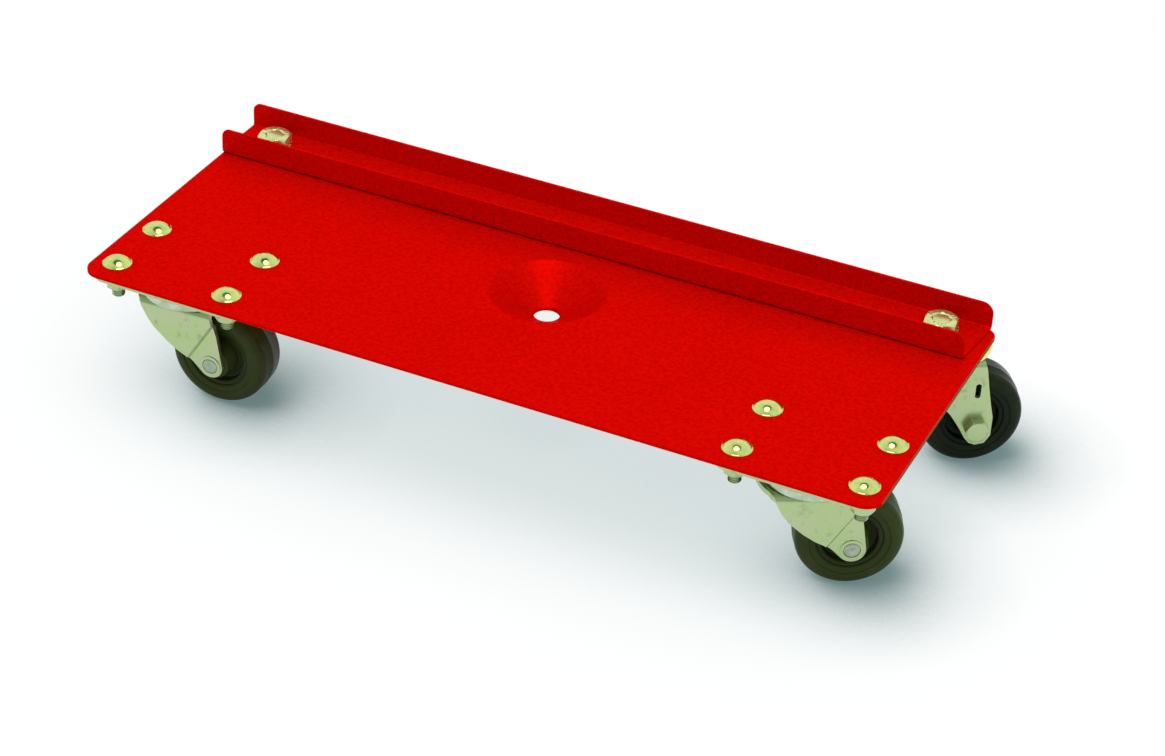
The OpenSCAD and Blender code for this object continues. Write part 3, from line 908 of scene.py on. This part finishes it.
@dataclass
class Assembly:
    """A group of pieces on the frame.

    Attributes:
        paint: The shop that dresses the pieces.
    """

    paint: PaintShop

    def mount(self, piece: Piece, body: str, slot: Slot, finish: Any, *stands_for: str) -> Piece:
        """Puts a modelled piece on a body, in a finish.

        Args:
            piece: The piece.
            body: The CAD body it rides on.
            slot: The record's material slot; not used.
            finish: Its finish.
            stands_for: CAD nodes that it replaces.

        Returns:
            The piece.
        """
        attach(piece, body)
        if stands_for:
            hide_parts(*stands_for)
        self.paint.dress(piece, finish)
        LOG.info("%s rides on %s", piece.name, body)
        return piece

    def refine(
        self, node: str, body: str, slot: Slot, finish: Any, width: float, angle: float = 32
    ) -> Piece:
        """Replaces a CAD node by its own shape with rounded edges.

        Args:
            node: The CAD node.
            body: The body it rides on.
            slot: The record's material slot; only passed on to mount, which doesn't use it.
            finish: Its finish.
            width: Width of the rounding.
            angle: Edges sharper than this many degrees are rounded.

        Returns:
            The new piece.
        """
        piece = Bench.soften(Bench.clean_copy(node, f"{node}_shaped"), width, 2, angle)
        return self.mount(piece, body, slot, finish, node)

    def carry(self, node: str, finish: Any) -> None:
        """Keeps a CAD node as it is and dresses it."""
        self.paint.dress(frame["nodes"][node], finish)
        LOG.info("%s is carried over", node)


@dataclass
class Deck(Assembly):
    """The pressed deck and the channel along its back edge.

    Attributes:
        bolt_dx: Bolt spacing along the deck.
        bolt_head: Radius of a bolt head.
    """

    bolt_dx: float = 76.0
    bolt_head: float = 9.0

    def bolt_rows(self) -> tuple[list[float], list[float]]:
        """X and Y of the bolt rows, from the box of the bolts."""
        low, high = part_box("carriage_bolts")
        outer = high[0] / MM - self.bolt_head
        inner = outer - self.bolt_dx
        rows = [low[1] / MM + self.bolt_head, high[1] / MM - self.bolt_head]
        return [-outer, -inner, inner, outer], rows

    def enamel(self) -> RedEnamel:
        """The enamel, fitted to the deck."""
        low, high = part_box("deck_plate")
        columns, rows = self.bolt_rows()
        return RedEnamel(
            half_length=high[0] / MM, front=low[1] / MM, back=high[1] / MM,
            bolt_x=(columns[2] + columns[3]) / 2, bolt_y=sum(rows) / 2,
            bolt_dx=self.bolt_dx, bolt_dy=rows[1] - rows[0],
        )

    def build(self) -> None:
        """Shapes and paints the deck and the channel."""
        finish = self.enamel()
        self.refine("deck_plate", "deck", Slot.RED, finish, 0.45)
        self.refine("guide_channel", "deck", Slot.RED, finish, 0.5)


@dataclass
class PlateFasteners(Assembly):
    """Carriage bolts, spring washers and nuts that hold the plate casters.

    Attributes:
        deck: The deck they go through.
        head_radius: Radius of the domed head.
        head_height: Height of the dome.
        neck: Width of the square neck.
        neck_height: Height of the square neck.
        shank: Radius of the thread.
        pitch: Pitch of the thread.
    """

    deck: Deck
    head_radius: float = 9.0
    head_height: float = 4.2
    neck: float = 8.0
    neck_height: float = 4.0
    shank: float = 4.0
    pitch: float = 1.25

    def bolt(self, length: float) -> Piece:
        """Models one bolt, its head standing on z = 0.

        Args:
            length: Length below the head.

        Returns:
            The bolt.
        """
        dome = (self.head_radius**2 + self.head_height**2) / (2 * self.head_height)
        half = math.degrees(math.asin(self.head_radius / dome))
        crown = ring_arc((0, self.head_height - dome), dome, 90 - half + 3.2, 90, 16)
        head = Bench.lathe("head", [
            (0, 0), (self.head_radius - 0.35, 0), (self.head_radius, 0.22),
            (self.head_radius - 0.12, 0.42), *crown[:-1], (0, self.head_height),
        ])
        Bench.smooth(DOME_ANGLE)
        Bench.clear()
        bpy.ops.mesh.primitive_cube_add(
            size=MM, location=(0, 0, -self.neck_height * MM / 2),
            scale=(self.neck, self.neck, self.neck_height),
        )
        neck = bpy.context.object
        bpy.ops.object.transform_apply(location=True, rotation=True, scale=True)
        Bench.soften(neck, 0.35)
        rod = Bench.helix("rod", self.shank, self.pitch, -length, -self.neck_height + 0.2)
        point = Bench.lathe("point", [
            (0, -length - 0.1), (self.shank - 1.1, -length - 0.1), (self.shank + 0.2, 1.2 - length),
            (self.shank + 0.2, 1.0), (0, 1.0),
        ], 48)
        Bench.carve(rod, point, "INTERSECT")
        Bench.smooth()
        return Bench.join([head, neck, rod], "bolt_pattern")

    def build(self) -> None:
        """Models one bolt and one nut, and copies them to the eight places."""
        bolt_low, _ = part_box("carriage_bolts")
        nut_low, nut_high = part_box("bolt_nuts")
        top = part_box("deck_plate")[1][2]
        bolt = self.bolt((top - bolt_low[2]) / MM)
        nut = HexStock(
            13.0, (nut_high[2] - nut_low[2]) / MM, self.shank - 0.05, self.pitch
        ).build("nut_pattern")
        columns, rows = self.deck.bolt_rows()
        for i, x in enumerate(columns):
            for j, y in enumerate(rows):
                label = f"{i + 1}{'ab'[j]}"
                spin = Matrix.Rotation(math.radians(25 * i + 17 * j), 4, "Z")
                here = Matrix.Translation((x * MM, y * MM, top))
                there = Matrix.Translation((x * MM, y * MM, nut_low[2]))
                self.mount(
                    Bench.copy_at(bolt, f"carriage_bolt_{label}", here),
                    "deck", Slot.BRIGHT_ZINC, Metal.BOLT_ZINC, "carriage_bolts",
                )
                self.mount(
                    Bench.copy_at(nut, f"bolt_nut_{label}", there @ spin),
                    "deck", Slot.ZINC, Metal.ZINC, "bolt_nuts",
                )
        Bench.discard(bolt)
        Bench.discard(nut)
        self.refine("bolt_washers", "deck", Slot.ZINC, Metal.ZINC, 0.2)


@dataclass
class StemFasteners(Assembly):
    """Nuts and spring washers in the channel, on the stems of the rear casters.

    Attributes:
        flats: Size of the nut across its flats.
        stem: Radius of the stem's thread.
        pitch: Pitch of the thread.
        turn: Angle of the nut's corners in degrees.
    """

    flats: float = 19.0
    stem: float = 6.0
    pitch: float = 1.75
    turn: float = 6.0

    def build(self) -> None:
        """Models one nut and copies it to both stems."""
        low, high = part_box("stem_nuts")
        nut = HexStock(
            self.flats, (high[2] - low[2]) / MM, self.stem - 0.05, self.pitch
        ).build("nut_pattern")
        for side in Side:
            joint = joint_of(f"rear_{side.value}_swivel")
            x, y, _ = joint["pos_m"]
            place = Matrix.Translation((x, y, low[2])) @ Matrix.Rotation(
                math.radians(self.turn - 30), 4, "Z"
            )
            self.mount(
                Bench.copy_at(nut, f"stem_nut_{side.value}", place),
                "deck", Slot.BRIGHT_ZINC, Metal.NUT_ZINC, "stem_nuts",
            )
        Bench.discard(nut)
        self.refine("stem_washers", "deck", Slot.BRIGHT_ZINC, Metal.NUT_ZINC, 0.25)


class Side(Enum):
    """Left and right, as seen from the front edge."""

    LEFT = "left"
    RIGHT = "right"


def joint_of(name: str) -> dict[str, Any]:
    """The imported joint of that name."""
    return next(joint for joint in frame["joints"] if joint["name"] == name)


@dataclass
class Wheel(Assembly):
    """Core and tyre of one wheel.

    Attributes:
        prefix: Name of the caster.
        end: front or rear.
        radius: Radius of the tread.
        width: Width of the tyre.
        shoulder: Radius of the tyre's shoulders.
        core: Radius of the core.
        hub: Outer radius of the hub.
        hub_half: Half the length of the hub.
        bore: Radius of the hub's bore.
        steps: Number of faces round the wheel.
    """

    prefix: str
    end: str
    radius: float = 31.75
    width: float = 27.0
    shoulder: float = 6.0
    core: float = 19.0
    hub: float = 10.5
    hub_half: float = 18.6
    bore: float = 6.95
    steps: int = 128

    def centre(self) -> Vector:
        """Centre of the wheel in metres."""
        return Vector(joint_of(f"{self.prefix}_roll")["pos_m"])

    def turn(self) -> float:
        """Direction in which the caster trails, in radians."""
        x, y, _ = joint_of(f"{self.prefix}_roll")["axis"]
        return math.atan2(-x, y)

    def place(self) -> Matrix:
        """Lays a turned piece on the axle."""
        return (
            Matrix.Translation(self.centre())
            @ Matrix.Rotation(self.turn(), 4, "Z")
            @ Matrix.Rotation(math.pi / 2, 4, "X")
        )

    def tyre(self) -> Piece:
        """Models the tyre: round shoulders, a mould line on the tread and rings in each side."""
        half, inner = self.width / 2, self.core + 0.05
        tread = self.radius - 0.35
        middle = (tread - self.shoulder, half - self.shoulder)
        side = [
            (inner, half - 1.8), (inner + 0.4, half - 1.4), (inner + 1.5, half - 1.05),
            (inner + 3.6, half - 0.9), (inner + 4.1, half - 0.75), (inner + 4.5, half - 0.12),
            (inner + 4.9, half), (middle[0] - 0.4, half),
            *ring_arc(middle, self.shoulder, 88, 52, 8),
            *ring_arc((middle[0] - 0.12, middle[1] - 0.12), self.shoulder, 50, 47, 1),
            *ring_arc(middle, self.shoulder, 45, 6, 8),
            (self.radius - 0.16, 0.55), (self.radius, 0.22),
        ]
        return Bench.lathe("tyre", [*both_sides(side), side[0]], self.steps)

    def core_piece(self) -> Piece:
        """Models the core: a hub tube, a web with a raised ring, and a rim."""
        rim_in, web, rim = self.core - 2.6, 6.5, 11.5
        end = self.hub_half
        face = [
            (self.bore, end - 0.5), (self.bore + 0.5, end), (self.hub - 1.1, end),
            (self.hub - 0.55, end - 0.25), (self.hub - 0.3, end - 1.0),
            (self.hub + 0.6, web + 1.5), (self.hub + 0.95, web + 0.5), (self.hub + 1.7, web),
            (self.hub + 2.6, web), (self.hub + 2.85, web + 0.45), (self.hub + 3.5, web + 0.45),
            (self.hub + 3.75, web), (rim_in - 1.2, web), (rim_in - 0.4, web + 0.35),
            (rim_in, web + 1.1), (rim_in, rim - 0.7), (rim_in + 0.2, rim - 0.2),
            (rim_in + 0.7, rim), (self.core - 0.3, rim), (self.core, rim - 0.3),
        ]
        return Bench.lathe("core", [*both_sides(face), face[0]], self.steps)

    def build(self) -> None:
        """Models both pieces and puts them on the wheel's body."""
        centre, turn = tuple(self.centre()), self.turn()
        front = self.end == "front"
        clean, dusty = (Rubber.FRONT if front else Rubber.REAR).value
        body = f"{self.prefix}_wheel"
        tyre = Bench.settle(self.tyre(), self.place())
        core = Bench.settle(self.core_piece(), self.place())
        # The last value of each row gives the radii of the painted shade in that piece's recess.
        for piece, part, slot, recess in (
            (tyre, "tyre", Slot.FRONT_TYRE if front else Slot.REAR_TYRE, (16.0, 19.5)),
            (core, "wheel_core", Slot.FRONT_CORE if front else Slot.REAR_CORE, (12.5, 17.5)),
        ):
            Bench.take(piece)
            Bench.smooth()
            piece.name = f"{self.prefix}_{part}_moulded"
            skin = MouldedRubber(
                f"{self.prefix}_{part}_skin", centre, turn, clean, dusty, recess
            )
            self.mount(piece, body, slot, skin, f"{self.prefix}_{part}")


@dataclass
class Caster(Assembly):
    """What both kinds of caster share.

    Attributes:
        side: Side of the deck.
        end: front or rear.
        cap_finish: Finish of the upper race.
    """

    side: Side
    end: str = "front"
    cap_finish: Metal = Metal.POLISHED_ZINC

    @property
    def prefix(self) -> str:
        """Start of the names of the caster's nodes."""
        return f"{self.end}_{self.side.value}"

    def build(self) -> None:
        """Builds the swivel, the fork and the wheel."""
        self.refine(
            f"{self.prefix}_upper_race", "deck", Slot.BRIGHT_ZINC, self.cap_finish, 0.35
        )
        self.refine(f"{self.prefix}_lower_race", "deck", Slot.ZINC, Metal.ZINC, 0.25)
        for balls in ("upper_balls", "lower_balls"):
            self.carry(f"{self.prefix}_{balls}", Metal.STEEL)
        self.carry(f"{self.prefix}_axle_sleeve", Metal.STEEL)
        self.refine(f"{self.prefix}_fork", f"{self.prefix}_caster", Slot.ZINC, Metal.ZINC, 0.45)
        wheel = Wheel(self.paint, self.prefix, self.end)
        wheel.build()
        self.build_pin()
        self.build_axle(wheel.place())

    def build_pin(self) -> None:
        """Builds what the caster swivels on."""

    def build_axle(self, place: Matrix) -> None:
        """Builds the axle at its place."""


@dataclass
class PlateCaster(Caster):
    """A front caster: top plate, riveted kingpin and riveted axle.

    Attributes:
        rivet: Radius of the axle rivet.
        rivet_half: Half the length of the axle rivet.
    """

    rivet: float = 4.9
    rivet_half: float = 22.9

    def build_pin(self) -> None:
        """Shapes the top plate and the kingpin."""
        self.refine(f"{self.prefix}_top_plate", "deck", Slot.ZINC, Metal.ZINC, 0.4)
        self.refine(f"{self.prefix}_kingpin", "deck", Slot.ZINC, Metal.ZINC, 0.3)

    def build_axle(self, place: Matrix) -> None:
        """Models the rivet with its peened ends.

        Args:
            place: Lays the rivet on the axle.
        """
        end, r = self.rivet_half, self.rivet
        tip = [
            (0, end - 0.42), (1.1, end - 0.38), (1.7, end - 0.16), (2.3, end - 0.05),
            (3.2, end), (4.0, end - 0.06), (4.55, end - 0.3), (r, end - 0.85),
        ]
        rivet = Bench.lathe("rivet", both_sides(tip), 72)
        Bench.smooth(DOME_ANGLE)
        rivet = Bench.settle(rivet, place)
        rivet.name = f"{self.prefix}_axle_rivet_peened"
        self.mount(
            rivet, f"{self.prefix}_caster", Slot.ZINC, Metal.RIVET_STEEL,
            f"{self.prefix}_axle_rivet",
        )


@dataclass
class StemCaster(Caster):
    """A rear caster: bright cap, threaded stem and bolted axle.

    Attributes:
        stem: Radius of the stem's thread.
        pin: Radius of the plain pin.
        axle: Radius of the axle bolt.
        leg_out: Distance of the legs' outer faces from the middle.
        nut_height: Height of the axle nut.
        head_height: Height of the axle bolt's head.
    """

    end: str = "rear"
    cap_finish: Metal = Metal.BRIGHT_ZINC
    stem: float = 6.0
    pin: float = 6.0
    axle: float = 4.9
    leg_out: float = 21.5
    nut_height: float = 7.0
    head_height: float = 6.0

    def build_pin(self) -> None:
        """Models the stem: a helical thread above, a shoulder and an upset end below."""
        name = f"{self.prefix}_stem"
        low, high = (corner[2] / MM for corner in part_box(name))
        deck_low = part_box("deck_plate")[1][2] / MM - SHEET
        x, y, _ = joint_of(f"{self.prefix}_swivel")["pos_m"]
        thread = Bench.helix("thread", self.stem, 1.75, deck_low - 0.5, high)
        point = Bench.lathe("point", [
            (0, deck_low - 1), (self.stem + 1, deck_low - 1), (self.stem + 1, high - 1.7),
            (self.stem - 1.15, high + 0.1), (0, high + 0.1),
        ], 48)
        Bench.carve(thread, point, "INTERSECT")
        Bench.smooth()
        pin = Bench.lathe("pin", [
            (0, low), (6.6, low), (7.6, low + 0.3), (8.9, low + 1.2), (9.4, low + 2.1),
            (9.5, low + 2.8), (9.3, low + 3), (self.pin, low + 3), (self.pin, deck_low - 2.6),
            (self.stem - 0.4, deck_low - 2.1), (self.stem - 0.4, deck_low - 0.2),
            (0, deck_low - 0.2),
        ], 72)
        Bench.smooth()
        stem = Bench.join([thread, pin], f"{name}_threaded")
        Bench.settle(stem, Matrix.Translation((x, y, 0)))
        self.mount(stem, "deck", Slot.BRIGHT_ZINC, Metal.NUT_ZINC, name)

    def build_axle(self, place: Matrix) -> None:
        """Models the axle bolt and its nut.

        Args:
            place: Lays them on the axle.
        """
        body = f"{self.prefix}_caster"
        head = HexStock(13.0, self.head_height, washer_face=True).build("head")
        Bench.settle(head, Matrix.Translation((0, 0, self.leg_out * MM)))
        end = -self.leg_out - 9.0
        rod = Bench.lathe("rod", [
            (0, end + 5.0), (self.axle - 0.5, end + 5.0), (self.axle, end + 5.6),
            (self.axle, self.leg_out + 0.3), (0, self.leg_out + 0.3),
        ], 72)
        thread = Bench.helix("thread", self.axle, 1.5, end, end + 5.4)
        point = Bench.lathe("point", [
            (0, end - 0.1), (self.axle - 1.1, end - 0.1), (self.axle + 0.2, end + 1.3),
            (self.axle + 0.2, end + 6), (0, end + 6),
        ], 48)
        Bench.carve(thread, point, "INTERSECT")
        bolt = Bench.join([head, rod, thread], f"{self.prefix}_axle_bolt_threaded")
        Bench.smooth()
        self.mount(
            Bench.settle(bolt, place), body, Slot.ZINC, Metal.ZINC, f"{self.prefix}_axle_bolt"
        )
        nut = HexStock(15.0, self.nut_height, self.axle + 0.05, 1.5).build(
            f"{self.prefix}_axle_nut_tapped"
        )
        down = Matrix.Translation((0, 0, -(self.leg_out + self.nut_height) * MM))
        self.mount(
            Bench.settle(nut, place @ down), body, Slot.ZINC, Metal.ZINC,
            f"{self.prefix}_axle_nut",
        )


# ---- Studio ----


@dataclass(frozen=True)
class Lamp:
    """A round lamp that hangs over the deck and points at its middle.

    Attributes:
        name: Its name.
        place: Its place in metres.
        size: Its width in metres.
        power: Its power in watts.
        colour: Its colour.
        mirrored: True if shiny parts show it.
    """

    name: str
    place: Triple
    size: float
    power: float
    colour: Colour
    mirrored: bool

    def hang(self) -> None:
        """Adds the lamp."""
        lamp = bpy.data.lights.new(self.name, "AREA")
        lamp.shape = "DISK"
        lamp.size = self.size
        lamp.energy = self.power
        lamp.color = self.colour
        holder = Bench.link(bpy.data.objects.new(self.name, lamp))
        holder.location = self.place
        holder.visible_glossy = self.mirrored
        aim = Vector((0.0, 0.0, 0.05)) - Vector(self.place)
        holder.rotation_mode = "QUATERNION"
        holder.rotation_quaternion = aim.to_track_quat("-Z", "Y")


@dataclass
class Studio:
    """White floor, soft light and the camera.

    Attributes:
        floor_size: Width of the floor in metres.
        floor_drop: Depth of the floor below the wheels in metres.
        paper: Colours of the floor's paper, as it lights the object.
        pale: Colour of the floor's share that the lamps light, as it is seen.
        glow: Colour that the open floor adds to that.
        deck_shadow_glow: The same, below and close beside the deck, where it paints the deck's
            shadow.
        under_reach: Distance over which the deck's painted shadow reaches, in metres.
        shade: Colour of the painted shadow close beside the wheels.
        shade_reach: Distance over which things near the floor give it a painted shadow.
        shade_lean: Direction of the light that the floor's painted shadows are drawn as if cast by.
        walls: Colours of the room by height.
        room_back: Colour of the dark side of the room.
        overhead: Colour of the dark patch round the lamps.
        lamps: The lamps.
        lens: Focal length.
        sensor: Width of the sensor.
        clip: Nearest and farthest distance that the camera sees, in metres.
        eye: Place of the camera in metres.
        right: The camera's right direction.
        up: The camera's up direction.
    """

    floor_size: float = 14.0
    floor_drop: float = 0.0003
    paper: tuple[Colour, Colour] = ((0.80, 0.80, 0.80), (0.82, 0.82, 0.82))
    pale: Colour = (0.08, 0.12, 0.12)
    glow: Colour = (0.93, 0.90, 0.90)
    deck_shadow_glow: Colour = (0.62, 0.70, 0.70)
    under_reach: float = 0.2
    shade: Colour = (0.13, 0.20, 0.20)
    shade_reach: float = 80.0
    shade_lean: Triple = (-0.58, -0.30, 0.76)
    walls: tuple[tuple[float, Colour], ...] = (
        (0.0, (0.84, 0.88, 0.90)), (0.20, (0.60, 0.64, 0.66)),
        (0.34, (0.88, 0.90, 0.91)), (1.0, (0.70, 0.72, 0.73)),
    )
    room_back: Colour = (0.12, 0.13, 0.14)
    overhead: Colour = (0.05, 0.07, 0.03)
    lamps: tuple[Lamp, ...] = (
        Lamp("soft_light", (0.0, -0.05, 1.8), 1.7, 9.0, (1.0, 0.99, 0.97), False),
        Lamp("spark_light", (0.05, -0.05, 1.8), 0.85, 5.4, (1.0, 1.0, 1.0), True),
    )
    lens: float = 93.225
    sensor: float = 36.0
    clip: Pair = (0.05, 40.0)
    eye: Triple = (0.63723, -1.38774, 1.04128)
    right: Triple = (0.9039, 0.4256, 0.0432)
    up: Triple = (-0.2674, 0.4833, 0.8336)

    def build(self) -> None:
        """Sets up the floor, the world, the lamps and the camera."""
        self.floor()
        self.world()
        for lamp in self.lamps:
            lamp.hang()
        self.camera()
        view = bpy.context.scene.view_settings
        view.view_transform = "Standard"

    @staticmethod
    def seen_directly(g: Graph) -> Reading:
        """1 for rays from the camera and for mirrored and refracted rays."""
        path = g.node("ShaderNodeLightPath")
        rays = [
            Reading(g, path.outputs[name])
            for name in ("Is Camera Ray", "Is Glossy Ray", "Is Transmission Ray")
        ]
        return rays[0].greater(rays[1]).greater(rays[2])

    def floor(self) -> None:
        """Lays a floor that looks white in the open, with painted shadows beside the wheels and
        below the deck, and is open from below.
        """
        Bench.clear()
        bpy.ops.mesh.primitive_plane_add(
            size=self.floor_size, location=(0, 0, -self.floor_drop)
        )
        plane = bpy.context.object
        plane.name = "studio_floor"
        material, g = Graph.of_material("floor_paper")
        tooth = g.noise(g.place(), 4, 2)
        paper = g.read(
            "ShaderNodeBsdfDiffuse", 0, None,
            {"Color": g.mix(tooth, *self.paper)},
        )
        pale = g.read("ShaderNodeBsdfDiffuse", 0, None, {"Color": self.pale})
        # Painted shadows: occlusion read round each point darkens the glow that the floor gives
        # off. It leans towards shade_lean near the wheels and points straight up below the deck.
        lean = g.read("ShaderNodeCombineXYZ", 0, None, dict(enumerate(self.shade_lean)))
        open_air = g.read(
            "ShaderNodeAmbientOcclusion", "AO", {"samples": 12},
            {"Distance": self.shade_reach * MM, "Normal": lean},
        )
        open_sky = g.read(
            "ShaderNodeAmbientOcclusion", "AO", {"samples": 8},
            {"Distance": self.under_reach},
        )
        painted_deck_shadow = g.mix(open_sky.ramp(0.20, 0.97), self.deck_shadow_glow, self.glow)
        glow = g.mix(open_air.ramp(0.50, 1.0), self.shade, painted_deck_shadow)
        lift = g.read("ShaderNodeEmission", 0, None, {"Color": glow, "Strength": 1.0})
        seen = g.read("ShaderNodeAddShader", 0, None, {0: pale, 1: lift})
        lit = g.read(
            "ShaderNodeMixShader", 0, None, {0: self.seen_directly(g), 1: paper, 2: seen}
        )
        behind = g.read("ShaderNodeNewGeometry", "Backfacing")
        clear = g.read("ShaderNodeBsdfTransparent", 0)
        shader = g.read("ShaderNodeMixShader", 0, None, {0: behind, 1: lit, 2: clear})
        g.node("ShaderNodeOutputMaterial", None, {0: shader})
        plane.data.materials.append(material)

    def world(self) -> None:
        """Surrounds the object by a white horizon, pale walls and a dark patch overhead."""
        world = bpy.data.worlds.new("studio_room")
        bpy.context.scene.world = world
        world.use_nodes = True
        g = Graph(world.node_tree)
        direction = g.read("ShaderNodeTexCoord", "Generated")
        along, depth, height = g.axes(direction)
        walls = g.read("ShaderNodeValToRGB", 0, {"stops": self.walls}, {0: height})
        room = g.mix(depth.ramp(-0.1, -0.9) * 0.55, walls, self.room_back)
        overhead = height + 0.12 * depth - 0.08 * along
        room = g.mix(overhead.ramp(0.925, 0.965) * 0.9, room, self.overhead)
        camera = g.read("ShaderNodeLightPath", "Is Camera Ray")
        horizon = self.seen_directly(g) * height.ramp(0.10, 0.02)
        seen = g.mix(camera.greater(horizon), room, (1.0, 1.0, 1.0))
        back = g.read("ShaderNodeBackground", 0, None, {"Color": seen, "Strength": 1.0})
        g.node("ShaderNodeOutputWorld", None, {0: back})

    def camera(self) -> None:
        """Puts the camera at its place, upright along its own up direction."""
        data = bpy.data.cameras.new("main_camera")
        data.lens = self.lens
        data.sensor_fit = "HORIZONTAL"
        data.sensor_width = self.sensor
        data.clip_start, data.clip_end = self.clip
        holder = Bench.link(bpy.data.objects.new("main_camera", data))
        right, up = Vector(self.right).normalized(), Vector(self.up)
        up = (up - right * up.dot(right)).normalized()
        back = right.cross(up)
        holder.matrix_world = Matrix.Translation(self.eye) @ Matrix(
            (right, up, back)
        ).transposed().to_4x4()
        bpy.context.scene.camera = holder


def main() -> None:
    """Builds the sub-assemblies in order."""
    logging.basicConfig(level=logging.INFO, format="%(name)s: %(message)s")
    paint = PaintShop()
    deck = Deck(paint)
    builders = [
        Studio(),
        deck,
        PlateFasteners(paint, deck),
        StemFasteners(paint),
        PlateCaster(paint, Side.LEFT),
        PlateCaster(paint, Side.RIGHT),
        StemCaster(paint, Side.LEFT),
        StemCaster(paint, Side.RIGHT),
    ]
    for builder in builders:
        LOG.info("building %s", type(builder).__name__)
        builder.build()


if __name__ == "__main__":
    main()
